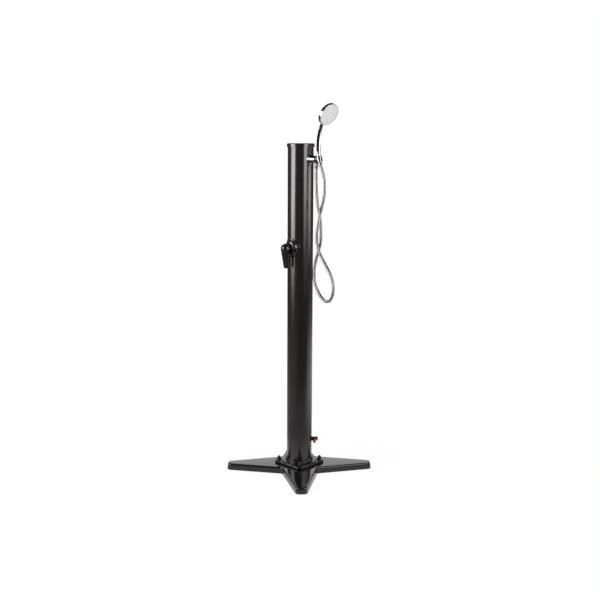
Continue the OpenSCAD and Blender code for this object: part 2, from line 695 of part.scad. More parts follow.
module mixer_rosette() {
    r = rosette_d / 2;
    b = valve_d / 2 + fit;
    color([0.08, 0.08, 0.08]) at(mixer_a, mixer_z) saddle([
        [b, 0, 1], [b, rosette_h, 0], [b + (r - b) * 0.22, rosette_h * 0.98, 0.1],
        [b + (r - b) * 0.42, rosette_h * 0.86, 0.32], [b + (r - b) * 0.62, rosette_h * 0.68, 0.6],
        [b + (r - b) * 0.8, rosette_h * 0.5, 0.85], [b + (r - b) * 0.92, rosette_h * 0.34, 1],
        [r - 0.4, rosette_h * 0.2, 1], [r, rosette_h * 0.1, 1], [r - 0.2, 0, 1], [r - 3, 0, 1],
        [b + (r - b) * 0.8, 0, 1], [b + (r - b) * 0.64, 0, 1], [b + (r - b) * 0.48, 0, 1],
        [b + (r - b) * 0.32, 0, 1], [b + (r - b) * 0.16, 0, 1]
    ], gasket_r + 0.1, 48);
}

module mixer_body() {
    back = tube_r - valve_depth;
    color([0.75, 0.65, 0.4]) difference() {
        union() {
            outward(mixer_a, mixer_z, 0) rotate_extrude() polygon([
                [0, back], [valve_d / 2 - 1, back], [valve_d / 2, back + 1], [valve_d / 2, valve_front - 1],
                [valve_d / 2 - 1, valve_front], [spindle_d / 2, valve_front],
                [spindle_d / 2, valve_front + spindle_len - 0.5], [spindle_d / 2 - 0.5, valve_front + spindle_len],
                [0, valve_front + spindle_len]
            ]);
            at(mixer_a, mixer_z) translate([port_at, 0, 0]) mirror([0, 0, 1]) cylinder(r = pipe_d / 2 + 2.5, h = port_z);
            for (s = [-1, 1]) at(mixer_a, mixer_z) translate([port_at, s * port_side, 0])
                cylinder(r = pipe_d / 2 + 2.5, h = port_z);
        }
        at(mixer_a, mixer_z) translate([port_at, 0, -port_z - 1]) cylinder(d = pipe_d - 3, h = 16);
        for (s = [-1, 1]) at(mixer_a, mixer_z) translate([port_at, s * port_side, port_z - 15])
            cylinder(d = pipe_d - 3, h = 16);
    }
}

module mixer_locknut() {
    color([0.75, 0.65, 0.4]) inner_nut(mixer_a, mixer_z, valve_d + 14, valve_d, 5);
}

module mixer_head() {
    z0 = valve_front + 0.3;
    color([0.08, 0.08, 0.08]) difference() {
        union() {
            outward(mixer_a, mixer_z, z0) cylinder(r1 = head_d / 2, r2 = head_ball_d / 2 - 0.2, h = pin_at - z0);
            at(mixer_a, mixer_z) translate([pin_at, 0, 0]) sphere(r = head_ball_d / 2);
        }
        outward(mixer_a, mixer_z, z0 - head_ball_d) cylinder(d = head_ball_d + 2, h = head_ball_d);
        outward(mixer_a, mixer_z, z0 - 1) cylinder(r = spindle_d / 2 + run_gap, h = spindle_len + 1.2);
        at(mixer_a, mixer_z) translate([pin_at, 0, 0]) rotate([90, 0, 0])
            cylinder(r = pin_d / 2 + run_gap, h = head_ball_d + 2, center = true);
    }
}

lever_ball_at = tube_r + lever_ball_out;
lever_ball_r = lever_ball_d / 2;
lever_rim = tube_r + lever_rim_out;
lever_hollow_r = head_ball_d / 2 + ball_gap;
ear_in = lever_hollow_r + 0.3;
ear_out = sqrt(pow(lever_ball_r, 2) - pow(lever_ball_at - pin_at, 2)) - 1.2;
lever_mid = lever_ball_at + 3.3;

// Section of the lever at height z: width and thickness, leaning in below
function lever_ring(z, w, t, n) = [
    for (j = [0 : n - 1]) let (a = 360 * j / n, c = cos(a), s = sin(a))
        [lever_mid + z * tan(lever_lean) + t / 2 * sign(c) * pow(abs(c), 0.75), w / 2 * sign(s) * pow(abs(s), 0.85), z]
];

module lever() {
    color([0.11, 0.1, 0.1]) at(mixer_a, mixer_z) difference() {
        union() {
            difference() {
                skin_rings([
                    for (s = [[0, 0.34, 0.4], [1.5, 0.6, 0.66], [4, 0.8, 0.84], [7, 0.92, 0.95]])
                        lever_ring(s[0] - lever_len, lever_end_w * s[1], lever_end_t * s[2], 28),
                    for (f = [1 : -1 / 6 : 1 / 12])
                        lever_ring(-f * (lever_len - 10), lever_w * 0.93 + (lever_end_w - lever_w * 0.93) * f,
                            lever_t + (lever_end_t - lever_t) * f, 28),
                    for (f = [0, 1])
                        lever_ring(6 * f, lever_w * (0.86 - 0.12 * f), lever_t * (0.86 - 0.12 * f), 28)
                ]);
                translate([lever_rim - 30, -30, 2.5 - lever_hollow_r]) cube([30, 60, 60]);
            }
            difference() {
                translate([lever_ball_at, 0, 0]) sphere(r = lever_ball_r);
                translate([lever_rim - 30, -30, -30]) cube([30, 60, 60]);
            }
            for (s = [-1, 1]) translate([pin_at, s * (ear_in + ear_out) / 2, 0])
                rotate([90, 0, 0]) linear_extrude(ear_out - ear_in, center = true) {
                    circle(d = pin_d + 7);
                    translate([0, -pin_d / 2 - 3.5]) square([lever_ball_at - pin_at, pin_d + 7]);
                }
        }
        translate([pin_at, 0, 0]) sphere(r = lever_hollow_r);
        translate([pin_at, 0, 0]) rotate([90, 0, 0]) cylinder(r = pin_d / 2 + 0.02, h = 2 * lever_w, center = true);
        translate([lever_ball_at + lever_ball_r - 2.5, 0, 0]) rotate([0, 90, 0]) cylinder(d = 7, h = 10);
    }
}

module lever_pin() {
    color([0.7, 0.7, 0.7]) at(mixer_a, mixer_z) translate([pin_at, 0, 0]) rotate([90, 0, 0])
        cylinder(d = pin_d, h = 2 * ear_out - 0.6, center = true);
}

module lever_index() {
    color([0.3, 0.3, 0.3]) at(mixer_a, mixer_z) translate([lever_ball_at + lever_ball_r - 2.5, 0, 0])
        rotate([0, 90, 0]) cylinder(d = 6.8, h = 2.3);
}

// Outlet and holder

module outlet_gasket() {
    color([0.1, 0.1, 0.1]) tube_gasket(outlet_a, outlet_z, outlet_base_d - 2, inlet_thread_d + 1);
}

module outlet_barrel() {
    e = outlet_end_d / 2;
    b = outlet_base_d / 2;
    color([0.8, 0.8, 0.82]) difference() {
        union() {
            outward(outlet_a, outlet_z, 0) rotate_extrude() polygon([
                [0, tube_r - outlet_thread_len], [inlet_thread_d / 2, tube_r - outlet_thread_len], [inlet_thread_d / 2, tube_r - 5],
                [b, tube_r - 5], [b, gasket_r + 1.6], [b - 0.8, gasket_r + 2.6], [b - 2.2, gasket_r + 3.4],
                [e + 1.2, gasket_r + 4.2], [e, gasket_r + 5.6],
                for (f = [0, 0.16, 0.32, 0.48, 0.62, 0.74, 0.82]) [e * sqrt(1 - f * f), outlet_end + e * (f - 0.82)],
                [0, outlet_end]
            ]);
            at(outlet_a, nipple_z) translate([nipple_at, 0, 0]) cylinder(d = nipple_d, h = outlet_z - nipple_z);
            at(outlet_a, outlet_nut_z + 1) translate([nipple_at, 0, 0])
                cylinder(d = nipple_d + 3, h = outlet_z - outlet_nut_z - 1);
        }
        saddle_cut(outlet_a, outlet_z, outlet_base_d + 1, inlet_thread_d);
        cradle_frame() cylinder(d = cradle_d + 2 * fit, h = 2 * cradle_h, center = true);
        outward(outlet_a, outlet_z, outlet_end) cylinder(d = holder_arm_d + 2 * fit, h = cradle_at);
        outward(outlet_a, outlet_z, tube_r - outlet_thread_len - 1)
            cylinder(d = water_d, h = nipple_at + water_d / 2 - tube_r + outlet_thread_len + 1);
        at(outlet_a, nipple_z - 1) translate([nipple_at, 0, 0]) cylinder(d = water_d, h = outlet_z - nipple_z + 1);
    }
}

module outlet_locknut() {
    color([0.75, 0.65, 0.4]) inner_nut(outlet_a, outlet_z, inlet_thread_d + 12, inlet_thread_d, 5);
}

// Local Z runs up the leaning axis of the holder, from its middle
module cradle_frame() {
    at(outlet_a, outlet_z) translate([cradle_at, 0, 0]) rotate([0, -cradle_lean, 0]) children();
}
function cone_r(t) = (cone_low_d + (cone_top_d - cone_low_d) * (t + cone_len / 2 + 1) / cone_len) / 2;

module cradle_ring() {
    color([0.8, 0.8, 0.82]) difference() {
        union() {
            cradle_frame() rotate_extrude() polygon([
                [0, -cradle_h / 2], [cradle_d / 2 - 2, -cradle_h / 2], [cradle_d / 2 - 0.8, -cradle_h / 2 + 1.2],
                [cradle_d / 2, 0], [cradle_d / 2, cradle_h / 2 - 1], [cradle_d / 2 - 0.6, cradle_h / 2], [0, cradle_h / 2]
            ]);
            outward(outlet_a, outlet_z, outlet_end) cylinder(d = holder_arm_d, h = cradle_at - outlet_end - 5);
        }
        cradle_frame() translate([0, 0, -cradle_h])
            cylinder(r1 = cone_r(-cradle_h) + cone_gap, r2 = cone_r(cradle_h) + cone_gap, h = 2 * cradle_h);
        cradle_frame() translate([0, -cradle_slot / 2, -cradle_h]) cube([cradle_d, cradle_slot, 2 * cradle_h]);
    }
}

module outlet_washer() {
    color([0.1, 0.1, 0.1]) at(outlet_a, nipple_z - 2) translate([nipple_at, 0, 0]) difference() {
        cylinder(d = nipple_d - 0.4, h = 2);
        translate([0, 0, -1]) cylinder(d = water_d, h = 4);
    }
}

module hose_nut_outlet() {
    n = hose_nut_d / 2;
    color([0.8, 0.8, 0.82]) at(outlet_a, 0) translate([nipple_at, 0, 0]) rotate_extrude() polygon([
        [nipple_d / 2 + fit, outlet_nut_z], [nipple_d / 2 + fit, nipple_z - 2], [0, nipple_z - 2],
        [0, outlet_ferrule_z], [hose_d / 2 + 0.6, outlet_ferrule_z], [hose_d / 2 + 1, outlet_ferrule_z + 0.6],
        [hose_d / 2 + 1, outlet_ferrule_z + ferrule_len - 1.5], [hose_d / 2 + 0.4, outlet_ferrule_z + ferrule_len],
        [n - 2, outlet_ferrule_z + ferrule_len], [n - 0.3, outlet_ferrule_z + ferrule_len + 2],
        [n, outlet_ferrule_z + ferrule_len + 3], [n, outlet_nut_z - 1], [n - 0.8, outlet_nut_z]
    ]);
}

cone_z0 = -cone_len / 2 - 1;
cone_z1 = cone_len / 2 - 1;

module hose_nut_handset() {
    color([0.8, 0.8, 0.82]) cradle_frame() rotate_extrude() polygon([
        [0, cone_z0 - ferrule_len], [hose_d / 2 + 0.6, cone_z0 - ferrule_len],
        [hose_d / 2 + 1, cone_z0 - ferrule_len + 0.6], [hose_d / 2 + 1, cone_z0 - 1],
        [cone_low_d / 2 - 0.6, cone_z0], [cone_r(cone_z0 + 1), cone_z0 + 1], [cone_r(cone_z1 - 0.8), cone_z1 - 0.8],
        [cone_r(cone_z1) - 0.8, cone_z1], [nipple_d / 2 + fit, cone_z1], [nipple_d / 2 + fit, cone_z1 - 11],
        [0, cone_z1 - 11]
    ]);
}

// Place of a point of the hose, from distance, side and depth
function hose_xyz(p) = [
    p[0] * sin(outlet_a) + p[1] * cos(outlet_a), -p[0] * cos(outlet_a) + p[1] * sin(outlet_a), outlet_z - p[2]
];

module hose() {
    low = cone_z0 - ferrule_len - 0.4;
    e = [cradle_at - low * sin(cradle_lean), 0, -low * cos(cradle_lean)];
    start = outlet_z - outlet_ferrule_z;
    line = spline([for (p = concat([[nipple_at, 0, start], [nipple_at, 0, start + 12]],
        hose_route, [e + 12 * [sin(cradle_lean), 0, cos(cradle_lean)], e])) hose_xyz(p)], 2);
    color([0.65, 0.65, 0.67]) skin_rings(tube_rings(line, hose_d / 2, 10, [cos(outlet_a), sin(outlet_a), 0]));
}

// Hand shower

grip_x = cradle_at - cone_z1 * sin(cradle_lean);
grip_z = outlet_z + cone_z1 * cos(cradle_lean);
grip_k = grip_len / 179;
face_x = grip_x + 62.1 * grip_k;
face_z = grip_z + 180.9 * grip_k;

// Sections of the handle: offset from the nut's upper end, height above it, and diameter
grip_rows = [
    [0, 0, 0.72], [-1.4, 5, 0.72], [-2.6, 10.5, 0.72], [-3, 12.5, 0.88], [-3.4, 15, 0.93], [-4.6, 32, 0.98], [-4.4, 52, 1], [-2.4, 76, 0.98],
    [1.6, 100, 0.93], [7, 120, 0.85], [13.5, 138, 0.80], [20.5, 154, 0.86], [28, 168, 1.0], [35, 179, 1.12]
];

// Local Z points out of the face of the head
module face_frame() {
    at(outlet_a, face_z) translate([face_x, 0, 0]) rotate([0, 90 + head_down, 0]) children();
}

module handset_shell() {
    r = head_face_d / 2;
    b = -head_rim_t;
    k = head_back;
    rows = [for (g = grip_rows) [grip_x + g[0] * grip_k, 0, grip_z + g[1] * grip_k]];
    line = spline(rows, 2);
    n = len(line) - 1;
    color([0.8, 0.8, 0.82]) difference() {
        union() {
            at(outlet_a, 0) skin_rings([
                for (i = [0 : n]) let (
                    t = i == 0 ? [-sin(cradle_lean), 0, cos(cradle_lean)] : unit(line[min(i + 1, n)] - line[i - 1]),
                    u = cross([0, 1, 0], t), g = i / 2, w0 = grip_rows[floor(g)][2],
                    w1 = grip_rows[min(floor(g) + 1, len(grip_rows) - 1)][2],
                    w = handle_d / 2 * (w0 + (w1 - w0) * (g - floor(g))))
                [for (j = [0 : 23]) line[i] + w * (cos(15 * j) * u + sin(15 * j) * [0, 1, 0])]
            ]);
            face_frame() rotate_extrude($fn = 96) polygon([
                [0, b - k], [r * 0.22, b - k + 0.4], [r * 0.42, b - k * 0.88], [r * 0.6, b - k * 0.66],
                [r * 0.76, b - k * 0.38], [r * 0.88, b - k * 0.12], [r - 3, b + 1.2], [r - 1, b + 3.2],
                [r, b + 6], [r, -2], [r - 0.6, -1.2], [0, -1.2]
            ]);
            cradle_frame() translate([0, 0, cone_z1 - 9]) cylinder(d = nipple_d, h = 14);
        }
        face_frame() translate([0, 0, -plate_t + 0.2]) cylinder(d = plate_d + 1, h = 20, $fn = 96);
        face_frame() translate([0, 0, -plate_t - 7.5]) cylinder(r = plate_boss_d / 2 + run_gap, h = 20);
    }
}

module face_ring() {
    r = head_face_d / 2;
    i = plate_d / 2 + 0.5;
    color([0.82, 0.82, 0.82]) face_frame() rotate_extrude($fn = 96) polygon([
        [i, -1.2], [r - 0.6, -1.2], [r - 0.6, 0], [r - 1.6, 0.9], [i + 0.8, 0.9], [i, 0.2]
    ]);
}

// Height of the spray plate's crown at a distance from its middle
function crown(d) = 1.6 * (1 - pow(2 * d / plate_d, 2));

module spray_face() {
    r = plate_d / 2;
    color([0.78, 0.78, 0.78]) face_frame() difference() {
        union() {
            rotate_extrude($fn = 96) polygon([
                [0, -plate_t + 0.5], [r - 1, -plate_t + 0.5], [r, -plate_t + 1.5], [r, -0.8], [r - 0.8, 0],
                for (k = [0.9, 0.75, 0.6, 0.45, 0.3, 0.15, 0]) [r * k, crown(r * k)]
            ]);
            translate([0, 0, -plate_t - 7]) cylinder(d = plate_boss_d, h = 8);
        }
        translate([0, 0, 0.6]) cylinder(d = 13.4, h = 5);
        for (q = [0 : 2]) rotate([0, 0, 120 * q + 30]) translate([r - 1, 0, -0.4]) cylinder(d = 5, h = 4);
    }
}

module nozzles() {
    color([0.6, 0.62, 0.64]) face_frame() for (k = [1 : nozzle_rings]) {
        d = plate_d / 2 * (0.12 + 0.76 * k / nozzle_rings);
        n = 6 * k + 2;
        for (j = [0 : n - 1]) rotate([0, 0, 360 * (j + k / 2) / n]) translate([d, 0, crown(d) + fit])
            cylinder(d1 = nozzle_d, d2 = nozzle_d * 0.7, h = 1.6, $fn = 16);
    }
}

module face_cap() {
    color([0.75, 0.75, 0.77]) face_frame() translate([0, 0, 0.6]) rotate_extrude($fn = 48) polygon([
        [0, 0], [6.5, 0], [6.5, 1.6], [5.6, 2.2], [0, 2.6]
    ]);
}

// Drain valve

module drain_gasket() {
    color([0.1, 0.1, 0.1]) tube_gasket(drain_a, drain_z, drain_d + 2, 15);
}

module drain_body() {
    r = drain_d / 2;
    color([0.12, 0.12, 0.12]) difference() {
        union() {
            outward(drain_a, drain_z, 0) rotate_extrude() polygon([
                [0, tube_r - 16], [7, tube_r - 16], [7, tube_r - 3], [r + 1.5, tube_r - 3],
                [r + 1.5, gasket_r + 2.4], [r + 0.7, gasket_r + 3.2], [r, gasket_r + 3.4], [r, drain_at + ball_d / 2],
                [r - 1.5, drain_at + ball_d / 2 + 1.8], [6.6, drain_at + ball_d / 2 + 1.8],
                [6.6, drain_at + ball_d / 2 + 5.4], [6, drain_at + ball_d / 2 + 6], [0, drain_at + ball_d / 2 + 6]
            ]);
            at(drain_a, drain_z) translate([drain_at, 0, 0]) rotate([90, 0, 0]) cylinder(d = stem_d + 5, h = r + 2.5);
        }
        saddle_cut(drain_a, drain_z, drain_d + 4, 14);
        outward(drain_a, drain_z, tube_r - 17) cylinder(d = ball_bore, h = 70);
        at(drain_a, drain_z) translate([drain_at, 0, 0]) sphere(r = ball_d / 2 + 0.3);
        at(drain_a, drain_z) translate([drain_at, 0, 0]) rotate([90, 0, 0]) cylinder(r = stem_d / 2 + run_gap, h = 30);
    }
}

module drain_locknut() {
    color([0.12, 0.12, 0.12]) inner_nut(drain_a, drain_z, 24, 14, 4);
}

module drain_ball() {
    color([0.8, 0.8, 0.82]) at(drain_a, drain_z) translate([drain_at, 0, 0]) difference() {
        sphere(r = ball_d / 2);
        cylinder(d = ball_bore, h = 30, center = true);
        translate([-10, -10 - ball_d / 2 + 1.2, -10]) cube([20, 10, 20]);
    }
}

module drain_stem() {
    color([0.8, 0.8, 0.82]) at(drain_a, drain_z) translate([drain_at, 0, 0]) rotate([90, 0, 0])
        translate([0, 0, ball_d / 2 - 1.2]) cylinder(d = stem_d, h = drain_d / 2 + 12 - ball_d / 2 + wing_t - 2.6);
}

wing_y = drain_d / 2 + 3.2;

module drain_handle() {
    color([0.55, 0.05, 0.07]) at(drain_a, drain_z) translate([drain_at, 0, 0]) rotate([90, 0, 0])
        rotate([0, 0, -wing_lean]) difference() {
            union() {
                translate([0, 0, wing_y]) cylinder(d = stem_d + 6.5, h = wing_t + 1.2);
                for (q = [0, 180]) rotate([0, 0, q]) translate([0, 0, wing_y + 0.4]) {
                    linear_extrude(wing_t - 0.4) polygon([[-3.2, 0], [3.2, 0], [wing_w / 2, wing_len / 2 - 4], [-wing_w / 2, wing_len / 2 - 4]]);
                    translate([0, wing_len / 2 - 4, 0]) for (s = [-1, 1]) translate([s * (wing_w / 2 - 4), 0, 0])
                        cylinder(r = 4, h = wing_t - 0.4);
                    translate([4 - wing_w / 2, wing_len / 2 - 4, 0]) cube([wing_w - 8, 4, wing_t - 0.4]);
                }
            }
            translate([0, 0, wing_y - 1]) cylinder(r = stem_d / 2 + 0.05, h = 20);
        }
}

module drain_nut() {
    color([0.75, 0.75, 0.77]) at(drain_a, drain_z) translate([drain_at, 0, 0]) rotate([90, 0, 0])
        translate([0, 0, wing_y + wing_t + 1.2]) difference() {
            cylinder(d = stem_d + 4.5, h = 2.4, $fn = 6);
            translate([0, 0, -1]) cylinder(r = stem_d / 2 + 0.05, h = 5);
        }
}

base_cross();
base_ballast();
ballast_screws();
base_feet();
foot_flange();
flange_bolts();
flange_washers();
flange_cap_nuts();
collar_screws();
tank_tube();
bottom_plug();
bottom_seal();
top_plug();
top_seal();
top_cap();
inlet_gasket();
inlet_body();
inlet_locknut();
inlet_spigot();
cold_pipe();
hot_pipe();
mixed_pipe();
mixer_gasket();
mixer_rosette();
mixer_body();
mixer_locknut();
mixer_head();
lever();
lever_pin();
lever_index();
outlet_gasket();
outlet_barrel();
outlet_locknut();
cradle_ring();
outlet_washer();
hose_nut_outlet();
hose_nut_handset();
hose();
handset_shell();
face_ring();
spray_face();
nozzles();
face_cap();
drain_gasket();
drain_body();
drain_locknut();
drain_ball();
drain_stem();
drain_handle();
drain_nut();
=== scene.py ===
"""Looks of the solar outdoor shower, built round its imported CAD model."""

import math

import bmesh
import bpy
import numpy as np
from mathutils import Matrix, Vector


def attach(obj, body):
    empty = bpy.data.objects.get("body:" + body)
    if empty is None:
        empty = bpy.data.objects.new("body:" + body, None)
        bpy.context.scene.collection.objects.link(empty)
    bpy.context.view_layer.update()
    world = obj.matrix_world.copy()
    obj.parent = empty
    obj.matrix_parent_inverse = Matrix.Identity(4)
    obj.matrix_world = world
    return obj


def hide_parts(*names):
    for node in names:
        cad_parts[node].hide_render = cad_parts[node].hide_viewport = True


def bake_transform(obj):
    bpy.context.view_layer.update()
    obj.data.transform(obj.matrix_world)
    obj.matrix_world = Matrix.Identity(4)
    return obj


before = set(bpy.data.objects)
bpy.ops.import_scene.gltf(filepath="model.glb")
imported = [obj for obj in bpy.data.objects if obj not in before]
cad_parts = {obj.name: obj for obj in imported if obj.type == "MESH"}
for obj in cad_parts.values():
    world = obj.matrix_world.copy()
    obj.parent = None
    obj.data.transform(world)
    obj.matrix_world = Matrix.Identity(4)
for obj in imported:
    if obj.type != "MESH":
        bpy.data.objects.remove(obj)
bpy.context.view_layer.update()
scene = bpy.context.scene
scene.view_settings.view_transform = "Standard"


# Studio
# A white floor, a white surround behind the object, a dark room in front of it and
# three soft boxes, seen by a camera at the photograph's distance, height and angle.


class Wire:
    """An output socket of a node tree; arithmetic on it adds Math nodes to the tree."""

    def __init__(self, board, socket):
        self.board, self.socket = board, socket

    def math(self, operation, *values):
        return self.board.node("ShaderNodeMath", {"operation": operation}, dict(enumerate(values)))

    def __add__(self, other):
        return self.math("ADD", self, other)

    def __sub__(self, other):
        return self.math("SUBTRACT", self, other)

    def __rsub__(self, other):
        return self.math("SUBTRACT", other, self)

    def __mul__(self, other):
        return self.math("MULTIPLY", self, other)

    def __truediv__(self, other):
        return self.math("DIVIDE", self, other)

    def __pow__(self, other):
        return self.math("POWER", self, other)

    __radd__ = __add__
    __rmul__ = __mul__

    def rise(self, low, high):
        """0 below low, 1 above high and smooth between."""
        return self.board.node("ShaderNodeMapRange", {"interpolation_type": "SMOOTHSTEP"},
                               {"Value": self, "From Min": low, "From Max": high})


class Board:
    """A node tree that is being wired."""

    def __init__(self, tree):
        self.tree = tree

    def node(self, kind, settings=(), values=(), out=0):
        made = self.tree.nodes.new(kind)
        for name, value in dict(settings).items():
            setattr(made, name, value)
        for name, value in dict(values).items():
            self.feed(made.inputs[name], value)
        return Wire(self, made.outputs[out])

    def feed(self, socket, value):
        if isinstance(value, Wire):
            self.tree.links.new(value.socket, socket)
        else:
            socket.default_value = value

    def blend(self, mask, low, high):
        """The colour low where mask is 0 and high where it is 1."""
        return self.node("ShaderNodeMix", {"data_type": "RGBA"}, {0: mask, 6: low, 7: high}, out=2)

    def split(self, vector):
        parts = self.node("ShaderNodeSeparateXYZ", values={0: vector}).socket.node
        return [Wire(self, socket) for socket in parts.outputs]

    def rays(self, *kinds):
        """1 for rays of these kinds, else 0."""
        path = self.node("ShaderNodeLightPath").socket.node
        return sum(Wire(self, path.outputs[f"Is {kind} Ray"]) for kind in kinds)


def tone(red, green, blue):
    """A colour written as 0 to 255 on a screen."""
    linear = [c / 255 / 12.92 if c <= 10 else ((c / 255 + 0.055) / 1.055) ** 2.4
              for c in (red, green, blue)]
    return (*linear, 1.0)


camera = bpy.data.objects.new("camera", bpy.data.cameras.new("camera"))
scene.collection.objects.link(camera)
scene.camera = camera
camera.data.sensor_width = 36.0
camera.data.lens = 54.7
camera.location = (-0.1364, -4.2616, 1.568)
yaw, pitch, roll = -0.032, math.radians(80.239), 0.0049
camera.rotation_euler = (
    Matrix.Rotation(yaw, 4, "Z") @ Matrix.Rotation(pitch, 4, "X") @ Matrix.Rotation(roll, 4, "Z")
).to_euler()

room_level, ceiling_level, walls_level, ambient_level = 0.035, 0.03, 0.2, 0.5
world = bpy.data.worlds.new("surround")
scene.world = world
world.use_nodes = True
surround = Board(world.node_tree)
seen, reflected = surround.rays("Camera"), surround.rays("Glossy", "Transmission")
across, away, up = surround.split(surround.node("ShaderNodeTexCoord", out="Generated"))
behind = away.rise(0.72, 0.92) * up.rise(0.02, 0.12)
walls = (across * across).rise(0.5, 0.98) * (1 - behind)
ceiling = up.rise(0.5, 1.0)
room = room_level + (1 - room_level) * behind + ceiling_level * ceiling + walls_level * walls
background = world.node_tree.nodes["Background"]
background.inputs["Color"].default_value = (1, 1, 1, 1)
surround.feed(background.inputs["Strength"],
              seen + (1 - seen) * (reflected * room + (1 - reflected) * ambient_level))

floor_size = 16
bpy.ops.mesh.primitive_plane_add(size=floor_size)
floor = bpy.context.object
floor.name = "floor"
floor_paint = bpy.data.materials.new("floor_paint")
floor_paint.use_nodes = True
ground = Board(floor_paint.node_tree)
seen, reflected = ground.rays("Camera"), ground.rays("Glossy", "Transmission")
paint = floor_paint.node_tree.nodes["Principled BSDF"]
pale = ground.blend(reflected, (0.86, 0.86, 0.86, 1), (0.01, 0.01, 0.01, 1))
ground.feed(paint.inputs["Base Color"], pale)
paint.inputs["Roughness"].default_value = 0.9
paint.inputs["Specular IOR Level"].default_value = 0.1
bright = ground.node("ShaderNodeEmission", values={"Color": (1, 1, 1, 1), "Strength": 1.0})
across, away, up = ground.split(ground.node("ShaderNodeTexCoord", out="Object"))
spread = (across * across + away * away) ** 0.5
# What the gloss of the object mirrors: pale round the foot and to the right, dim to the left
round_foot = 0.02 + 0.24 * (1 - spread.rise(0.5, 2.2)) + 0.35 * (1 - spread.rise(0.34, 0.62))
right_side = 0.9 * across.rise(0.3, 1.6) * away.rise(-1.4, 0.1)
left_side = 0.16 * (0 - across).rise(0.4, 1.4)
mirrored = round_foot + (right_side + left_side) * (1 - 0.85 * spread.rise(1.6, 4.6))
whiteness = seen * (0.94 + 0.06 * spread.rise(0.5, 0.9)) + reflected * mirrored
mixed = ground.node("ShaderNodeMixShader",
                    values={0: whiteness, 1: Wire(ground, paint.outputs[0]), 2: bright})
ground.feed(floor_paint.node_tree.nodes["Material Output"].inputs["Surface"], mixed)
floor.data.materials.append(floor_paint)


def soft_box(name, angle, distance, middle, width, height, radiance, fade, tint=(1, 1, 1)):
    """A rectangular lamp, angle degrees to the right of the camera's side, aimed at the tank.

    Its lower part, the share fade of its height, grows dark downwards.
    """
    lamp = bpy.data.objects.new(name, bpy.data.lights.new(name, "AREA"))
    scene.collection.objects.link(lamp)
    lamp.data.shape = "RECTANGLE"
    lamp.data.size, lamp.data.size_y = width, height
    lamp.data.energy = radiance * math.pi * width * height
    lamp.data.color = tint
    a = math.radians(angle)
    lamp.location = (distance * math.sin(a), -distance * math.cos(a), middle)
    to_tank = Vector((0, 0, middle)) - lamp.location
    lamp.rotation_euler = to_tank.to_track_quat("-Z", "Y").to_euler()
    lamp.visible_camera = False
    lamp.data.use_nodes = True
    glow = Board(lamp.data.node_tree)
    level = glow.split(glow.node("ShaderNodeNewGeometry", out="Parametric"))[1]
    glow.feed(lamp.data.node_tree.nodes["Emission"].inputs["Strength"], level.rise(0.0, fade))


soft_box("left_soft_box", angle=-70, distance=2.4, middle=1.5, width=1.7, height=2.4,
         radiance=6.6, fade=0.42)
soft_box("right_soft_box", angle=47, distance=2.6, middle=1.675, width=1.8, height=2.25,
         radiance=5.1, fade=0.49, tint=(1, 0.9, 0.88))
soft_box("side_soft_box", angle=85, distance=2.2, middle=1.025, width=1.2, height=0.81,
         radiance=3.5, fade=1.0, tint=(1, 0.95, 0.95))


# Foot
# A four-armed cross, moulded in one piece of glossy near-black plastic with rounded edges
# and hollow below. Four screws hold a cast weight in it, and it stands on rubber feet.


class Finish(Board):
    """A material: its own values go on the shader, and what varies is wired to it."""

    def __init__(self, name, own):
        self.material = bpy.data.materials.new(name)
        self.material.use_nodes = True
        super().__init__(self.material.node_tree)
        self.shader = self.tree.nodes["Principled BSDF"]
        self.place = self.node("ShaderNodeTexCoord", out="Object")
        for socket, value in own.items():
            self.shader.inputs[socket].default_value = value

    def noise(self, scale, detail=2.0, stretch=(1, 1, 1)):
        """Cloudy noise from 0 to 1, with about scale patches to the metre."""
        place = self.node("ShaderNodeMapping", values={"Vector": self.place, "Scale": stretch})
        return self.node("ShaderNodeTexNoise",
                         values={"Vector": place, "Scale": scale, "Detail": detail})

    def varies(self, **wires):
        """Wires values to the shader's sockets, such as base_color= or roughness=."""
        for name, wire in wires.items():
            self.feed(self.shader.inputs[name.replace("_", " ").title()], wire)

    def mottle(self, scale, detail, dark, light, rough, rougher):
        """Noise that mixes two tones and two roughnesses; it returns the noise."""
        cloud = self.noise(scale, detail)
        self.varies(base_color=self.blend(cloud, tone(*dark), tone(*light)),
                    roughness=rough + (rougher - rough) * cloud)
        return cloud

    def bump(self, height, distance):
        """Raises the surface by height times distance, in metres."""
        raised = self.node("ShaderNodeBump", values={"Height": height, "Distance": distance})
        self.varies(normal=raised)


def dress(material, *nodes):
    """Gives CAD nodes a material in their own slots."""
    for name in nodes:
        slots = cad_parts[name].data.materials
        for i in range(len(slots)):
            slots[i] = material


def solid(name, corners, faces, material, sharp=35.0):
    """A mesh object from corners and faces, smooth but for edges sharper than an angle."""
    mesh = bpy.data.meshes.new(name)
    mesh.from_pydata([tuple(c) for c in corners], [], faces)
    build = bmesh.new()
    build.from_mesh(mesh)
    bmesh.ops.remove_doubles(build, verts=build.verts, dist=1e-6)
    bmesh.ops.recalc_face_normals(build, faces=build.faces)
    build.to_mesh(mesh)
    build.free()
    mesh.shade_smooth()
    mesh.set_sharp_from_angle(angle=math.radians(sharp))
    piece = bpy.data.objects.new(name, mesh)
    scene.collection.objects.link(piece)
    mesh.materials.append(material)
    return piece


def skin(rings, ends=True):
    """Corners and faces of a skin through rings of equally many points."""
    n = len(rings[0])
    corners = [point for ring in rings for point in ring]
    faces = [
        (i * n + j, i * n + (j + 1) % n, (i + 1) * n + (j + 1) % n, (i + 1) * n + j)
        for i in range(len(rings) - 1)
        for j in range(n)
    ]
    if ends:
        faces += [tuple(reversed(range(n))), tuple(range(len(corners) - n, len(corners)))]
    return corners, faces


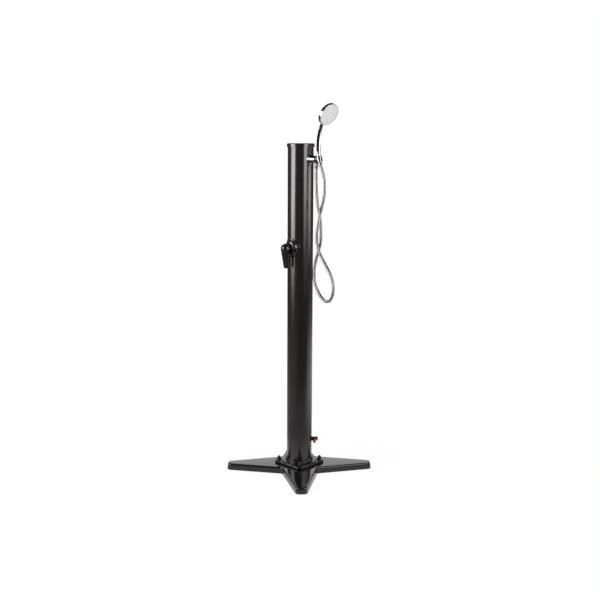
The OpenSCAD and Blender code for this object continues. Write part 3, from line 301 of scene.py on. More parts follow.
def arc(x, y, radius, start, end, steps):
    """Points of an arc, by angles in degrees."""
    angles = np.radians(np.linspace(start, end, steps + 1))
    return [(x + radius * math.cos(a), y + radius * math.sin(a)) for a in angles]


def four_times(quarter, z):
    """An outline at height z of a quarter and its three turned copies."""
    turns = [(1, 0), (0, 1), (-1, 0), (0, -1)]
    return [(x * c - y * s, x * s + y * c, z) for c, s in turns for x, y in quarter]


def crowned(outline, inset, top, edge):
    """Rings of an outline that round off its upper edge."""
    return [outline(inset + edge * (1 - math.cos(a)), top - edge * (1 - math.sin(a)))
            for a in np.radians(range(0, 91, 9))]


moulded_plastic = Finish("moulded_plastic", {"IOR": 1.52, "Coat Roughness": 0.06})
cloud = moulded_plastic.mottle(9, 3, (14, 12, 12), (21, 18, 18), 0.09, 0.16)
moulded_plastic.varies(coat_weight=0.25 + 0.2 * cloud)
moulded_plastic.bump(moulded_plastic.noise(700) + 3 * moulded_plastic.noise(60), 0.00003)

arm_reach, arm_tip, arm_taper, tip_corner, inner_corner = 0.351, 0.051, 12.7, 0.022, 0.018
foot_top, foot_wall, foot_edge, foot_draft = 0.032, 0.004, 0.008, 0.0035
inner_edge, lower_edge, foot_lift = 0.004, 0.0008, 0.002
taper = math.radians(arm_taper)
edge_at = arm_tip / 2 + arm_reach * math.tan(taper)
tip_x = arm_reach - tip_corner
tip_y = edge_at - tip_x * math.tan(taper) - tip_corner / math.cos(taper)
inner_at = (edge_at * math.cos(taper) + inner_corner) / (math.sin(taper) + math.cos(taper))


def cross_ring(inset, z):
    """The foot's outline, moved in by inset, at height z."""
    return four_times(
        arc(tip_x, -tip_y, tip_corner - inset, arm_taper - 90, 0, 12)
        + arc(tip_x, tip_y, tip_corner - inset, 0, 90 - arm_taper, 12)
        + arc(inner_at, inner_at, inner_corner + inset, 270 - arm_taper, 180 + arm_taper, 14), z)


foot_rings = [
    cross_ring(foot_draft + foot_wall + inner_edge, foot_top - foot_wall),
    cross_ring(foot_draft + foot_wall, foot_top - foot_edge),
    cross_ring(foot_wall, foot_lift),
    cross_ring(lower_edge, foot_lift),
    cross_ring(0, foot_lift + lower_edge),
]
foot_rings += crowned(cross_ring, foot_draft, foot_top, foot_edge)
foot = solid("foot_moulding", *skin(foot_rings), moulded_plastic.material, sharp=60)
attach(foot, "stand")
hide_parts("base_cross")

cast_weight = Finish("cast_weight", {"Specular IOR Level": 0.2})
speckle = cast_weight.mottle(300, 6, (120, 116, 110), (158, 154, 147), 0.8, 0.95)
cast_weight.bump(speckle, 0.0004)
dress(cast_weight.material, "base_ballast")

rubber = Finish("rubber", {"Specular IOR Level": 0.3})
rubber.mottle(120, 4, (22, 22, 22), (34, 33, 33), 0.65, 0.85)
rubber.bump(rubber.noise(900), 0.00005)
dress(rubber.material, "base_feet", "flange_washers", "bottom_seal", "top_seal", "inlet_gasket",
      "mixer_gasket", "outlet_gasket", "outlet_washer", "drain_gasket")

zinc_steel = Finish("zinc_steel", {"Metallic": 1.0})
flow = zinc_steel.mottle(90, 4, (165, 165, 168), (195, 195, 196), 0.25, 0.45)
zinc_steel.bump(flow, 0.00002)
dress(zinc_steel.material, "ballast_screws", "flange_bolts", "collar_screws", "lever_pin",
      "drain_stem")


# Flange
# A cast plate, square with rounded corners, with a round step and a collar that the tube
# stands in. It is gloss black, and four bolts with cap nuts hold it down on the foot.


def joined(*shapes):
    """Corners and faces of several shapes as one."""
    corners, faces = [], []
    for c, f in shapes:
        faces += [tuple(i + len(corners) for i in face) for face in f]
        corners += list(c)
    return corners, faces


def mm(*rows):
    """Rows of millimetres as rows of metres."""
    return [tuple(value / 1000 for value in row) for row in rows]


def circle(steps):
    """Angles all round."""
    return np.linspace(0, 2 * math.pi, steps, False)


def round_ring(place, radius, height, steps):
    """Points of a circle about the place's own Z."""
    return [place @ Vector((radius * math.cos(a), radius * math.sin(a), height))
            for a in circle(steps)]


def lathe(profile, place, steps=128):
    """Corners and faces of a profile of (radius, height) turned about the place's own Z."""
    rings = [round_ring(place, r, h, steps) for r, h in profile]
    return skin(rings, ends=profile[0] != profile[-1])


flange_half, flange_corner, flange_edge, flange_top = 0.0915, 0.028, 0.0035, 0.0445
plate_chamfer = 0.001


def square_ring(inset, z):
    """The flange's outline, its corners on the X and Y axes, moved in by inset, at height z."""
    corner_at = (flange_half - flange_corner) * math.sqrt(2)
    return four_times(arc(corner_at, 0, flange_corner - inset, -45, 45, 20), z)


cast_black = Finish("cast_black", {"IOR": 1.55, "Coat Roughness": 0.08})
cloud = cast_black.mottle(14, 3, (14, 12, 13), (21, 18, 19), 0.2, 0.32)
cast_black.varies(coat_weight=0.2 + 0.2 * cloud)
cast_black.bump(cast_black.noise(900) + 2 * cast_black.noise(90), 0.00003)

plate_rings = [square_ring(plate_chamfer, foot_top), square_ring(0, foot_top + plate_chamfer)]
plate_rings += crowned(square_ring, 0, flange_top, flange_edge)
step_profile = mm(
    (60.2, 33.5), (88.8, 33.5), (88.8, 43.8), (87.9, 44.8), (86.6, 46.4), (85.1, 47.7),
    (83.5, 48.4), (82, 48.5), (72.5, 48.5), (70.2, 48.8), (68.5, 49.7), (67.3, 51.2), (66.6, 53.5),
    (65.5, 62.2), (65.2, 63.6), (64.5, 64.3), (63.5, 64.5), (60.2, 64.5), (60.2, 33.5),
)
flange_shape = joined(skin(plate_rings), lathe(step_profile, Matrix.Identity(4)))
flange = solid("flange_casting", *flange_shape, cast_black.material, sharp=50)
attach(flange, "stand")
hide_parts("foot_flange")
dress(cast_black.material, "flange_cap_nuts")


# Tank
# A round tube in a dark brown-black gloss finish that the sun heats. Plugs with O-rings
# close it, and a slightly wider cap is pushed over its upper end.

tank_gloss = Finish("tank_gloss", {"IOR": 1.6, "Coat Roughness": 0.12})
cloud = tank_gloss.noise(6, 3)
streak = tank_gloss.noise(60, 4, stretch=(1, 1, 0.03))
tank_gloss.varies(
    base_color=tank_gloss.blend(cloud, tone(23, 19, 20), tone(30, 25, 25)),
    roughness=0.15 + 0.05 * cloud + 0.04 * streak,
    coat_weight=0.35 + 0.2 * cloud,
)
tank_gloss.bump(0.3 * tank_gloss.noise(500) + 3 * streak, 0.00001)
dress(tank_gloss.material, "tank_tube", "top_cap")

moulded_grey = Finish("moulded_grey", {})
moulded_grey.mottle(60, 3, (60, 60, 60), (74, 74, 73), 0.45, 0.6)
dress(moulded_grey.material, "bottom_plug", "top_plug")


# Inlet and pipes
# A brass elbow with a black spigot for a garden hose, held through the back of the tube by
# a lock nut, and the plastic pipes that lead cold, hot and mixed water inside the tank.

brass = Finish("brass", {"Metallic": 1.0})
tarnish = brass.noise(80, 4)
across, away, up = brass.split(brass.place)
# The mixer's body is cast in brass and painted black where it stands outside the tube
outside = ((across * across + away * away) ** 0.5).rise(0.0612, 0.0616) * up.rise(0.9, 0.91)
bare = brass.blend(tarnish, tone(196, 160, 92), tone(172, 136, 78))
brass.varies(base_color=brass.blend(outside, bare, tone(10, 9, 9)), roughness=0.22 + 0.2 * tarnish)
brass.bump(tarnish, 0.00002)
dress(brass.material, "inlet_body", "inlet_locknut", "mixer_body", "mixer_locknut",
      "outlet_locknut")

black_plastic = Finish("black_plastic", {})
black_plastic.mottle(150, 3, (20, 20, 21), (30, 29, 30), 0.28, 0.42)
black_plastic.bump(black_plastic.noise(1200), 0.00003)
dress(black_plastic.material, "inlet_spigot", "drain_body", "drain_locknut")

pale_pipe = Finish("pale_pipe", {})
pale_pipe.mottle(40, 2, (214, 212, 204), (228, 226, 220), 0.4, 0.5)
dress(pale_pipe.material, "cold_pipe", "mixed_pipe")

red_pipe = Finish("red_pipe", {})
red_pipe.mottle(40, 2, (176, 48, 40), (196, 62, 50), 0.4, 0.5)
dress(red_pipe.material, "hot_pipe")


# Mixer
# A lever mixer cast in gloss black and held by a lock nut inside: a rosette of a thin plate
# and a dome that wraps the tube, a turning head, and a ball with a paddle, pinned to the head.


def beside_tank(angle, height, out=0.0):
    """A place beside the tank, X away from it at an angle to the right of the front, Z up."""
    a = math.radians(angle)
    x, y = Vector((math.sin(a), -math.cos(a), 0)), Vector((math.cos(a), math.sin(a), 0))
    place = Matrix((x, y, (0, 0, 1))).transposed().to_4x4()
    place.translation = x * out + Vector((0, 0, height))
    return place


def facing_out(angle, height, out=0.0):
    """The same place with its Z away from the tank."""
    return beside_tank(angle, height, out) @ Matrix.Rotation(math.pi / 2, 4, "Y")


mixer_black = Finish("mixer_black", {"IOR": 1.5, "Coat Roughness": 0.03})
cloud = mixer_black.mottle(70, 3, (14, 12, 13), (21, 18, 19), 0.13, 0.21)
mixer_black.varies(coat_weight=0.35 + 0.2 * cloud)
mixer_black.bump(mixer_black.noise(700), 0.00002)
dress(mixer_black.material, "mixer_head", "lever_index")

mixer_angle, mixer_height, saddle_radius = -50, 1.087, 0.06175
mixer_place = beside_tank(mixer_angle, mixer_height)
# Distance from the mixer's axis and height over the tube, in millimetres, and the share of
# the tube's curve that the row follows
rosette_rows = [
    (18.15, 0, 1), (18.15, 8.9, 0), (18.5, 9.35, 0), (19.3, 9.5, 0), (21.5, 9.45, 0.02),
    (24, 9.25, 0.08), (26.5, 8.85, 0.18), (29, 8.25, 0.32), (31.5, 7.45, 0.48), (33.7, 6.5, 0.64),
    (35.5, 5.4, 0.78), (36.8, 4.3, 0.9), (37.4, 3.3, 0.97), (37.6, 2.6, 1), (38.1, 2.4, 1),
    (38.5, 2.7, 1), (39.2, 3.05, 1), (41.5, 3.0, 1), (43.5, 2.75, 1), (44.6, 2.35, 1),
    (45.2, 1.7, 1), (45.4, 1, 1), (45.3, 0.3, 1), (44.9, 0, 1), (36, 0, 1), (27, 0, 1),
    (18.15, 0, 1),
]
rings = []
for reach, rise, wrap in rosette_rows:
    ring = []
    for a in circle(160):
        y, z = reach / 1000 * math.cos(a), reach / 1000 * math.sin(a)
        out = math.sqrt(saddle_radius ** 2 - (y * wrap) ** 2) + rise / 1000
        ring.append(mixer_place @ Vector((out, y, z)))
    rings.append(ring)
rosette = solid("rosette", *skin(rings, ends=False), mixer_black.material, sharp=40)
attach(rosette, "stand")
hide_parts("mixer_rosette")


def ball(place, radius, rings=40, steps=80):
    """Corners and faces of a ball with closed poles."""
    profile = [(max(radius * math.sin(a), 1e-5), -radius * math.cos(a))
               for a in np.linspace(0, math.pi, rings)]
    return lathe(profile, place, steps)


def finished(name, worked):
    """A new object with the mesh that an object's modifiers make, in place of that object."""
    depsgraph = bpy.context.evaluated_depsgraph_get()
    mesh = bpy.data.meshes.new_from_object(worked.evaluated_get(depsgraph))
    bpy.data.objects.remove(worked)
    piece = bpy.data.objects.new(name, mesh)
    scene.collection.objects.link(piece)
    mesh.shade_smooth()
    return piece


def shaped(name, rough, *steps):
    """Applies modifiers, each a kind and its settings, and returns the finished object."""
    for kind, settings in steps:
        modifier = rough.modifiers.new(kind.lower(), kind)
        for key, value in settings.items():
            setattr(modifier, key, value)
    material = rough.data.materials[0]
    piece = finished(name, rough)
    piece.data.materials.clear()
    piece.data.materials.append(material)
    piece.data.set_sharp_from_angle(angle=math.radians(40))
    return piece


pin_out, ball_out, ball_radius, hollow_radius = 0.086, 0.091, 0.0225, 0.0185
paddle_out, paddle_lean, back_bulge, side_bulge = 0.0978, math.tan(math.radians(4.8)), 0.75, 0.85
# Height, width and thickness of the paddle's sections, in millimetres
paddle_rows = [
    (-94, 6, 3), (-93.7, 11, 5.5), (-92.8, 16, 7.6), (-91.2, 20, 9.2), (-89, 22.8, 10.3),
    (-86, 24.8, 10.9), (-80, 26.8, 11.3), (-66, 30, 12.4), (-50, 33.8, 14), (-34, 37.8, 16.4),
    (-20, 41.6, 19), (-8, 43.6, 20.4), (0, 42, 19), (6, 35, 14),
]
rings = []
for z, w, t in paddle_rows:
    ring = []
    for a in circle(64):
        c, s = math.cos(a), math.sin(a)
        x = paddle_out + z / 1000 * paddle_lean + t / 2000 * math.copysign(abs(c) ** back_bulge, c)
        y = w / 2000 * math.copysign(abs(s) ** side_bulge, s)
        ring.append(mixer_place @ Vector((x, y, z / 1000)))
    rings.append(ring)
ball_place = mixer_place @ Matrix.Translation((ball_out, 0, 0))
paddle_and_ball = joined(skin(rings), ball(ball_place, ball_radius))
rough_lever = solid("rough_lever", *paddle_and_ball, mixer_black.material)

# The ball is cut off towards the tube, hollowed over the head, and holed for the index mark
pin_place = mixer_place @ Matrix.Translation((pin_out, 0, 0))
hollow = solid("hollow", *ball(pin_place, hollow_radius), mixer_black.material)
cut_out, cut_half, cut_half_height, cut_lift = 0.088, 0.03, 0.031, 0.015
cut_place = mixer_place @ Matrix.Translation((cut_out - cut_half, 0, cut_lift))
cut_rings = [
    [cut_place @ Vector((x * cut_half, y * cut_half, z * cut_half_height))
     for x, y in ((-1, -1), (1, -1), (1, 1), (-1, 1))]
    for z in (-1, 1)
]
cut_box = solid("cut_box", *skin(cut_rings), mixer_black.material)
index_radius, index_depth = 0.0035, 0.0025
index_place = facing_out(mixer_angle, mixer_height, ball_out + ball_radius - index_depth)
index_profile = [(index_radius, 0), (index_radius, 0.01)]
index_hole = solid("index_hole", *lathe(index_profile, index_place, 48), mixer_black.material)
lever = shaped(
    "paddle_lever", rough_lever,
    ("REMESH", {"mode": "VOXEL", "voxel_size": 0.0007}),
    ("SMOOTH", {"factor": 0.5, "iterations": 14}),
    ("BOOLEAN", {"operation": "DIFFERENCE", "object": cut_box, "solver": "EXACT"}),
    ("BOOLEAN", {"operation": "DIFFERENCE", "object": hollow, "solver": "EXACT"}),
    ("BOOLEAN", {"operation": "DIFFERENCE", "object": index_hole, "solver": "EXACT"}),
)
for spent in (hollow, cut_box, index_hole):
    bpy.data.objects.remove(spent)
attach(lever, "lever_tilt")
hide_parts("lever")


# Outlet and holder
# A chromed brass barrel, held through the tube by a lock nut, with a nipple below for the
# hose and a short arm whose leaning, slotted ring carries the hand shower.

chrome = Finish("chrome", {"Metallic": 1.0})
chrome.mottle(35, 4, (196, 198, 201), (208, 209, 211), 0.03, 0.08)
chrome.bump(chrome.noise(120), 0.000003)

# A darker copy of the chrome: its colour is painted shade that dims the reflections in the outlet
# body, the hose nuts and the holder ring
tap_chrome = Finish("tap_chrome", {"Metallic": 1.0})
tap_chrome.mottle(40, 3, (132, 133, 136), (146, 147, 150), 0.04, 0.09)
tap_chrome.bump(tap_chrome.noise(120), 0.000003)
dress(tap_chrome.material, "cradle_ring")

outlet_angle, outlet_height = 45, 1.496
outlet_place = beside_tank(outlet_angle, outlet_height)
holder_out, holder_lean = 0.1175, math.radians(-16)
holder_place = (beside_tank(outlet_angle, outlet_height, holder_out)
                @ Matrix.Rotation(holder_lean, 4, "Y"))
barrel_radius, barrel_end, end_depth = 16.5, 103.5, 9.075
barrel_rows = [
    (0.01, 38), (10.4, 38), (10.4, 55), (21, 55), (21, 63.2), (20.8, 63.8), (20.3, 64.3),
    (19.2, 64.9), (18, 65.5), (17.2, 66.2), (16.7, 67.2), (barrel_radius, 68.5),
]
barrel_rows += [(max(barrel_radius * math.cos(a), 0.01), barrel_end - end_depth * (1 - math.sin(a)))
                for a in np.linspace(0, math.pi / 2, 14)]
nipple_out, nipple_height = 0.097, 1.470
nipple_profile = mm((0.01, 0), (7.5, 0), (7.5, 8.2), (8.8, 8.4), (9, 8.8), (9, 26), (0.01, 26))
barrel = solid("outlet_body", *joined(
    lathe(mm(*barrel_rows), facing_out(outlet_angle, outlet_height), 96),
    lathe(nipple_profile, beside_tank(outlet_angle, nipple_height, nipple_out), 64),
), tap_chrome.material)
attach(barrel, "stand")
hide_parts("outlet_barrel")


# Hose
# A chromed steel hose, wound from one interlocking strip, with a chromed nut at either end.
# It leaves the outlet downwards, hangs in a twisted loop and rises into the holder.

hose_radius = 0.007
nut_low, nut_high = -0.0394, -0.0274
# Distance from the tank's axis, distance to the side and depth below the outlet, in millimetres
hose_rows = mm(
    (97, 0, 45), (97, 0, 57), (97, 0, 71), (98, 0, 106), (102, -2, 146), (109, -5, 184),
    (118, -8, 220), (129, -10, 256), (136, -9, 296), (133, -4, 341), (123, 4, 381), (108, 10, 414),
    (92, 14, 449), (81, 15, 486), (77, 14, 526), (82, 12, 563), (98, 8, 595), (125, 1, 623),
    (158, -10, 641), (192, -21, 643), (220, -30, 628), (237, -36, 600), (240, -37, 564),
    (226, -33, 529), (201, -26, 499), (171, -19, 469), (143, -14, 439), (122, -10, 408),
    (109, -6, 373), (104, 0, 334), (107, 6, 294), (113, 9, 256), (126, 8, 216), (140, 5, 176),
    (147, 3, 136), (147, 1, 96), (138, 0, 59),
)
hose_points = [outlet_place @ Vector((out, side, -depth)) for out, side, depth in hose_rows]
hose_points += [holder_place @ Vector((0, 0, z)) for z in (nut_low, nut_high)]


def through(points, steps):
    """A smooth line through points, with a number of steps to each span."""
    line = []
    last = len(points) - 1
    for i in range(last):
        a, b, c, d = points[max(i - 1, 0)], points[i], points[i + 1], points[min(i + 2, last)]
        for s in range(steps):
            t = s / steps
            bend = (a * 2 - b * 5 + c * 4 - d) * t * t + (b * 3 - a - c * 3 + d) * t ** 3
            line.append((b * 2 + (c - a) * t + bend) / 2)
    return line + [points[last]]


hose_line = through(hose_points, 6)
hose_length = sum((b - a).length for a, b in zip(hose_line, hose_line[1:]))

hose_chrome = Finish("hose_chrome", {"Metallic": 1.0})
hose_chrome.mottle(60, 4, (154, 155, 158), (178, 179, 182), 0.12, 0.2)
hose_chrome.bump(hose_chrome.noise(900), 0.00001)


def node_group(name, inputs):
    """The board of a new geometry node group, and wires from its inputs by name."""
    kinds = {float: "NodeSocketFloat", int: "NodeSocketInt", tuple: "NodeSocketVector"}
    tree = bpy.data.node_groups.new(name, "GeometryNodeTree")
    tree.interface.new_socket("Geometry", in_out="INPUT", socket_type="NodeSocketGeometry")
    for label, value in inputs.items():
        socket = tree.interface.new_socket(label, in_out="INPUT", socket_type=kinds[type(value)])
        socket.default_value = value
    tree.interface.new_socket("Material", in_out="INPUT", socket_type="NodeSocketMaterial")
    tree.interface.new_socket("Geometry", in_out="OUTPUT", socket_type="NodeSocketGeometry")
    board = Board(tree)
    given = tree.nodes.new("NodeGroupInput")
    return board, {socket.name: Wire(board, socket) for socket in given.outputs if socket.name}


def grown(name, carrier, board, size, made, material):
    """The finished object of a carrier whose node group makes the geometry made."""
    real = board.node("GeometryNodeRealizeInstances", values={"Geometry": made})
    dressed = board.node("GeometryNodeSetMaterial",
                         values={"Geometry": real, "Material": size["Material"]})
    board.feed(board.tree.nodes.new("NodeGroupOutput").inputs["Geometry"], dressed)
    modifier = carrier.modifiers.new(board.tree.name, "NODES")
    modifier.node_group = board.tree
    for item in board.tree.interface.items_tree:
        if item.item_type == "SOCKET" and item.in_out == "INPUT" and item.name == "Material":
            modifier[item.identifier] = material
    return finished(name, carrier)


def marked(board, geometry, label, value):
    """The geometry with a value kept on its points, and a wire of that value."""
    capture = board.node("GeometryNodeCaptureAttribute").socket.node
    capture.capture_items.new("FLOAT", label)
    board.feed(capture.inputs["Geometry"], geometry)
    board.feed(capture.inputs[label], value)
    return Wire(board, capture.outputs["Geometry"]), Wire(board, capture.outputs[label])


def wound_hose(name, points, radius, material):
    """A hose of wound strip along points, by Geometry Nodes."""
    curve = bpy.data.curves.new(name + "_line", "CURVE")
    curve.dimensions = "3D"
    spline = curve.splines.new("POLY")
    spline.points.add(len(points) - 1)
    for point, place in zip(spline.points, points):
        point.co = (*place, 1)
    line = bpy.data.objects.new(name + "_line", curve)
    scene.collection.objects.link(line)
    board, size = node_group("wound_strip", {
        "Radius": radius, "Pitch": 0.0034, "Groove": 0.0007, "Step": 0.00055, "Sides": 20})
    even = board.node("GeometryNodeResampleCurve", {"mode": "LENGTH"},
                      {"Curve": size["Geometry"], "Length": size["Step"]})
    path, along = marked(board, even, "Along",
                         board.node("GeometryNodeSplineParameter", out="Length"))
    ring = board.node("GeometryNodeCurvePrimitiveCircle", {"mode": "RADIUS"},
                      {"Resolution": size["Sides"], "Radius": size["Radius"]})
    profile, around = marked(board, ring, "Around",
                             board.node("GeometryNodeSplineParameter", out="Factor"))
    tube = board.node("GeometryNodeCurveToMesh",
                      values={"Curve": path, "Profile Curve": profile, "Fill Caps": True})
    phase = along / size["Pitch"] + around
    depth = (1 - phase.math("PINGPONG", phase, 0.5).rise(0.0, 0.22)) * size["Groove"]
    inward = board.node("ShaderNodeVectorMath", {"operation": "SCALE"},
                        {0: board.node("GeometryNodeInputNormal"), "Scale": depth * -1.0})
    grooved = board.node("GeometryNodeSetPosition", values={"Geometry": tube, "Offset": inward})
    kept = board.node("GeometryNodeStoreNamedAttribute", {"data_type": "FLOAT", "domain": "POINT"},
                      {"Geometry": grooved, "Name": "along", "Value": along})
    return grown(name, line, board, size, kept, material)


def fluted(profile, place, low, high, flutes, depth, steps=144):
    """A lathe shape with scallops of a depth between two heights."""
    rings = []
    for r, h in profile:
        cut = depth if low <= h <= high else 0.0
        ring = []
        for a in circle(steps):
            reach = r - cut * abs(math.cos(flutes * a / 2)) ** 6
            ring.append(place @ Vector((reach * math.cos(a), reach * math.sin(a), h)))
        rings.append(ring)
    return skin(rings)


nut_drop = 0.019
nut_profile = mm(
    (0.01, 0), (7.4, 0), (7.9, 0.3), (8, 0.8), (8, 7.4), (7.7, 8.3), (7.4, 9), (7.8, 9.2),
    (9, 10.2), (9.7, 11.2), (10, 12.2), (10, 12.8), (10, 14.2), (10, 18), (10, 21.8), (10, 23.6),
    (10, 24.4), (9.8, 25.4), (9.2, 26), (7.7, 26), (7.7, 17), (0.01, 17),
)
nut_place = beside_tank(outlet_angle, nipple_height - nut_drop, nipple_out)
nut_shape = fluted(nut_profile, nut_place, low=0.014, high=0.0237, flutes=20, depth=0.0006)
lower_nut = solid("outlet_nut", *nut_shape, tap_chrome.material)
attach(lower_nut, "stand")
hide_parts("hose_nut_outlet")

cone_profile = mm(
    (0.01, -27), (7.3, -27), (7.9, -26.7), (8, -26.2), (8, -19.6), (7.8, -18.8), (7.9, -18.3),
    (8.2, -18), (8.7, -17.3), (8.9, -16.8), (9.1, -15.5), (9.5, -12), (10.9, 2), (11.7, 10),
    (12, 13.2), (12.1, 14.2), (12.1, 15.2), (11.9, 15.8), (11.4, 16), (7.7, 16), (7.7, 5),
    (0.01, 5),
)
upper_nut = solid("handset_nut", *lathe(cone_profile, holder_place, 144), tap_chrome.material)
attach(upper_nut, "handset")
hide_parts("hose_nut_handset")

hose = wound_hose("shower_hose", hose_line, hose_radius, hose_chrome.material)
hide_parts("hose")
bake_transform(hose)


# Hand shower
# A chromed moulding that stands on the hose's cone nut: a gently bowed handle with two
# flattened flanks, which flows as a ridge over the back of a thick round head.


def ramp(value, low, high):
    """0 below low, 1 above high and straight between."""
    return min(1.0, max(0.0, (value - low) / (high - low)))


holder_seen = outlet_place.inverted() @ holder_place
cone_top = holder_seen @ Vector((0, 0, 0.016))
cone_axis = holder_seen.to_3x3() @ Vector((0, 0, 1))
handle_radius, head_radius = 0.0115, 0.053
face_offset, face_lean = Vector((0.0621, 0, 0.1809)), math.radians(119)
face_place = (outlet_place @ Matrix.Translation(cone_top + face_offset)
              @ Matrix.Rotation(face_lean, 4, "Y"))
# Offset from the cone nut's upper end and height above it, in millimetres, and the share of
# the handle's full radius
handle_rows = [
    (0, 0, 0.72), (-1.4, 5, 0.72), (-2.6, 10.2, 0.72), (-2.75, 11.2, 0.83), (-3.1, 12.8, 0.9),
    (-3.4, 15, 0.93), (-4.6, 32, 0.98), (-4.4, 52, 1), (-2.4, 76, 0.98), (1.6, 100, 0.93),
    (7, 120, 0.85), (13.5, 138, 0.80), (20.5, 154, 0.86), (28, 168, 1.0), (35, 179, 1.12),
]
rows = [Vector((cone_top.x + x / 1000, share * handle_radius, cone_top.z + z / 1000))
        for x, z, share in handle_rows]
handle_line = [(Vector((p.x, 0, p.z)), p.y) for p in through(rows, 6)]

# The handle's axis as the head sees it: distance below its middle, depth behind it, radius
to_face = face_place.inverted() @ outlet_place
behind_face = [(to_face @ p, r) for p, r in handle_line]
ridge_rows = [(p.x, -p.z, r) for p, r in behind_face if p.x < head_radius + 0.02]
ridge_rows += [(0.002, 0.0175, 0.0125), (-0.012, 0.008, 0.011)]
ridge_below, ridge_depth, ridge_radius = zip(*sorted(ridge_rows))
ridge_top, ridge_rim, flare_rim = -0.02, 0.047, 0.036


def ridge(x, y):
    """Depth of the handle's back behind the face, at x below and y beside the head's middle."""
    if math.hypot(x, y) >= ridge_rim or x < ridge_top:
        return 0.0
    near = [x + step for step in (-0.004, -0.002, 0, 0.002, 0.004)]
    depth = np.mean(np.interp(near, ridge_below, ridge_depth))
    radius = np.mean(np.interp(near, ridge_below, ridge_radius))
    beside = abs(y) / radius
    # The round goes on as a straight flank from this share of the radius, steeper near the rim
    turn = 0.9 + 0.095 * ramp(math.hypot(x, y), flare_rim, ridge_rim)
    if beside < turn:
        return depth + radius * math.sqrt(1 - beside ** 2)
    fall = math.sqrt(1 - turn ** 2)
    return depth + radius * (fall - (beside - turn) * turn / fall)


# Distance from the head's middle and depth of its back behind the face, in millimetres
dome_rows = [
    (0, 31), (4, 30.93), (8, 30.7), (12, 30.25), (16, 29.6), (20, 28.65), (24, 27.4), (28, 25.85),
    (32, 24.1), (36, 22.2), (40, 20.9), (43, 20), (45.5, 19.35), (47.5, 18.8), (49, 18.2),
    (50.2, 17.4), (51.2, 16.4), (52, 15.1), (52.6, 13.6), (52.9, 12.1), (53, 10),
]
rim_rows = mm((53, 3), (52.9, 2.2), (52.4, 1.4), (51.9, 1.2), (48, 1.2), (47.5, 1.6), (47.5, 6.6),
              (46.9, 7), (0.01, 7))
blend_depth, blend_fade, head_steps = 0.006, 0.008, 160
rings = []
for reach, depth, _ in through([Vector((r / 1000, d / 1000, 0)) for r, d in dome_rows], 3):
    soft = blend_depth * ramp(head_radius - reach, 0.0, blend_fade)
    ring = []
    for a in circle(head_steps):
        x, y = max(reach, 1e-5) * math.cos(a), max(reach, 1e-5) * math.sin(a)
        back = ridge(x, y)
        lift = max(soft - abs(depth - back), 0) ** 2 / (4 * soft) if soft > 1e-6 else 0.0
        ring.append(face_place @ Vector((x, y, -max(depth, back) - lift)))
    rings.append(ring)
rings += [round_ring(face_place, r, -depth, head_steps) for r, depth in rim_rows]
head = skin(rings)

# Two flanks, at an angle to either side of the front, are cut flat at a share of the radius
flank_angle, flank_share, flank_power = math.radians(67), 0.74, 36
flank_start, flank_full, inside_head = 22, 34, 7
sideways = Vector((0, 1, 0))
rings = []
for i, (p, radius) in enumerate(handle_line[:-inside_head]):
    before = handle_line[i - 1][0] if i else p - cone_axis
    outward = sideways.cross((handle_line[i + 1][0] - before).normalized())
    flat = ramp(i, flank_start, flank_full)
    ring = []
    for a in circle(180):
        aside = math.pi - abs(a - math.pi)
        flank = max(0.0, math.cos(aside - flank_angle) / flank_share)
        reach = radius * (1 - flat + flat * (1 + flank ** flank_power) ** (-1 / flank_power))
        ring.append(outlet_place @ (p + reach * (math.cos(a) * outward + math.sin(a) * sideways)))
    rings.append(ring)
handle = skin(rings)
shell = solid("hand_shower", *joined(head, handle), chrome.material, sharp=45)
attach(shell, "handset")
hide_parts("handset_shell")


# Spray face
# A pale satin plastic face in a double pale rim, with shallow ring grooves and soft nozzles
# in rings. It turns in the head to change the spray: three hollows in its edge take a thumb.

face_grey = Finish("face_grey", {"IOR": 1.45})
face_grey.mottle(90, 3, (198, 202, 203), (208, 212, 213), 0.28, 0.4)
face_grey.bump(face_grey.noise(1500), 0.00001)

rim_grey = Finish("rim_grey", {"Metallic": 0.4})
rim_grey.mottle(90, 3, (196, 200, 201), (208, 212, 213), 0.22, 0.32)
rim_profile = mm(
    (47.5, -1.2), (52.4, -1.2), (52.45, -0.4), (52.2, 0.1), (51.9, 0.45), (51.4, 0.75), (50.9, 0.9),
    (50.3, 0.9), (49.9, 0.65), (49.6, 0.6), (49.3, 0.85), (48.9, 0.9), (48.3, 0.85), (47.9, 0.6),
    (47.6, 0.2), (47.5, -0.2), (47.5, -1.2),
)
face_rim = solid("face_rim", *lathe(rim_profile, face_place, 160), rim_grey.material)
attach(face_rim, "handset")
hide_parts("face_ring")

plate_radius, plate_crown, plate_steps = 0.047, 0.0016, 180
groove_radii, groove_half, groove_depth = (0.0098, 0.0188, 0.0278, 0.0368), 0.0007, 0.0003
thumb_reach, thumb_radius, thumb_depth = 0.046, 0.0042, 0.0009
thumbs = [(thumb_reach * math.cos(q), thumb_reach * math.sin(q))
          for q in np.radians((30, 150, 270))]


def crown(r):
    """Height of the spray face's crown at a distance from its middle."""
    return plate_crown * (1 - (r / plate_radius) ** 2)


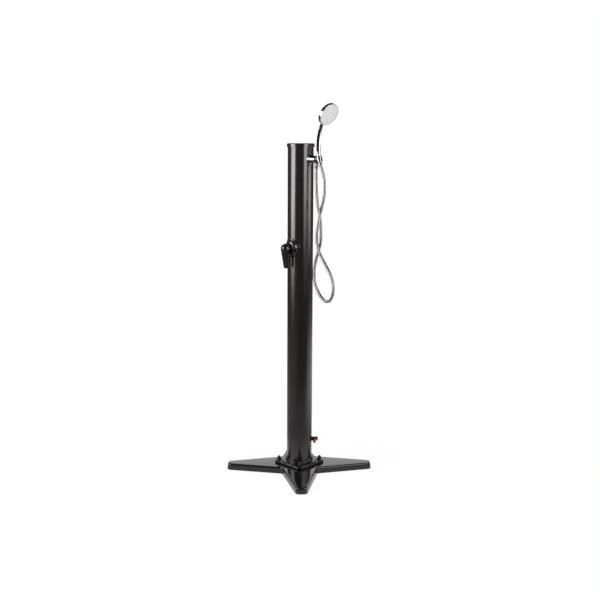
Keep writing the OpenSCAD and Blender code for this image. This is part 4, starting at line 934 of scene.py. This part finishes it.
rings = []
for r in [*np.linspace(0.00001, 0.0462, 84), 0.0466]:
    groove = groove_depth * sum(max(0.0, 1 - abs(r - g) / groove_half) for g in groove_radii)
    ring = []
    for a in circle(plate_steps):
        x, y = r * math.cos(a), r * math.sin(a)
        thumb = min(math.hypot(x - tx, y - ty) for tx, ty in thumbs)
        hollow = thumb_depth * max(0.0, 1 - (thumb / thumb_radius) ** 2)
        ring.append(face_place @ Vector((x, y, crown(r) - groove - hollow)))
    rings.append(ring)
edge_rows = mm((46.9, -0.2), (47, -0.8), (47, -5.5), (46.5, -6.4), (0.01, -6.5))
rings += [round_ring(face_place, r, z, plate_steps) for r, z in edge_rows]
hub = lathe(mm((8, -14), (8, -6)), face_place, 48)
spray_plate = solid("spray_plate", *joined(skin(rings), hub), face_grey.material, sharp=50)
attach(spray_plate, "spray_selector")
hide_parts("spray_face")
dress(face_grey.material, "face_cap")

nozzle_grey = Finish("nozzle_grey", {})
nozzle_grey.mottle(400, 2, (160, 163, 166), (174, 177, 180), 0.45, 0.65)


def studded(name, places, turn, material):
    """Soft nozzles at places, all turned alike, by Geometry Nodes."""
    mesh = bpy.data.meshes.new(name + "_places")
    mesh.from_pydata([tuple(p) for p in places], [], [])
    carrier = bpy.data.objects.new(name + "_places", mesh)
    scene.collection.objects.link(carrier)
    board, size = node_group("nozzle_rings", {
        "Base Radius": 0.0013, "Tip Radius": 0.0009, "Height": 0.0016, "Sides": 14,
        "Turn": tuple(turn)})
    stud = board.node("GeometryNodeMeshCone", values={
        "Vertices": size["Sides"], "Radius Bottom": size["Base Radius"],
        "Radius Top": size["Tip Radius"], "Depth": size["Height"]})
    set_out = board.node("GeometryNodeInstanceOnPoints", values={
        "Points": size["Geometry"], "Instance": stud, "Rotation": size["Turn"]})
    piece = grown(name, carrier, board, size, set_out, material)
    piece.data.set_sharp_from_angle(angle=math.radians(40))
    return piece


nozzle_lift = 0.0001
spots = []
for k in (1, 2, 3, 4):
    r, count = plate_radius * (0.12 + 0.19 * k), 6 * k + 2
    for a in [2 * math.pi * (j + k / 2) / count for j in range(count)]:
        x, y = r * math.cos(a), r * math.sin(a)
        spots.append(face_place @ Vector((x, y, crown(r) + nozzle_lift)))
nozzles = studded("spray_nozzles", spots, face_place.to_euler(), nozzle_grey.material)
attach(nozzles, "spray_selector")
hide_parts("nozzles")


# Drain valve
# A small ball valve screwed into the tube's foot: a black plastic body held by a lock nut
# inside, a chromed ball, and a red handle on a steel stem that turns it by a quarter.

dress(chrome.material, "drain_ball", "drain_nut")

signal_red = Finish("signal_red", {})
signal_red.mottle(200, 3, (112, 14, 22), (140, 24, 32), 0.3, 0.45)
dress(signal_red.material, "drain_handle")
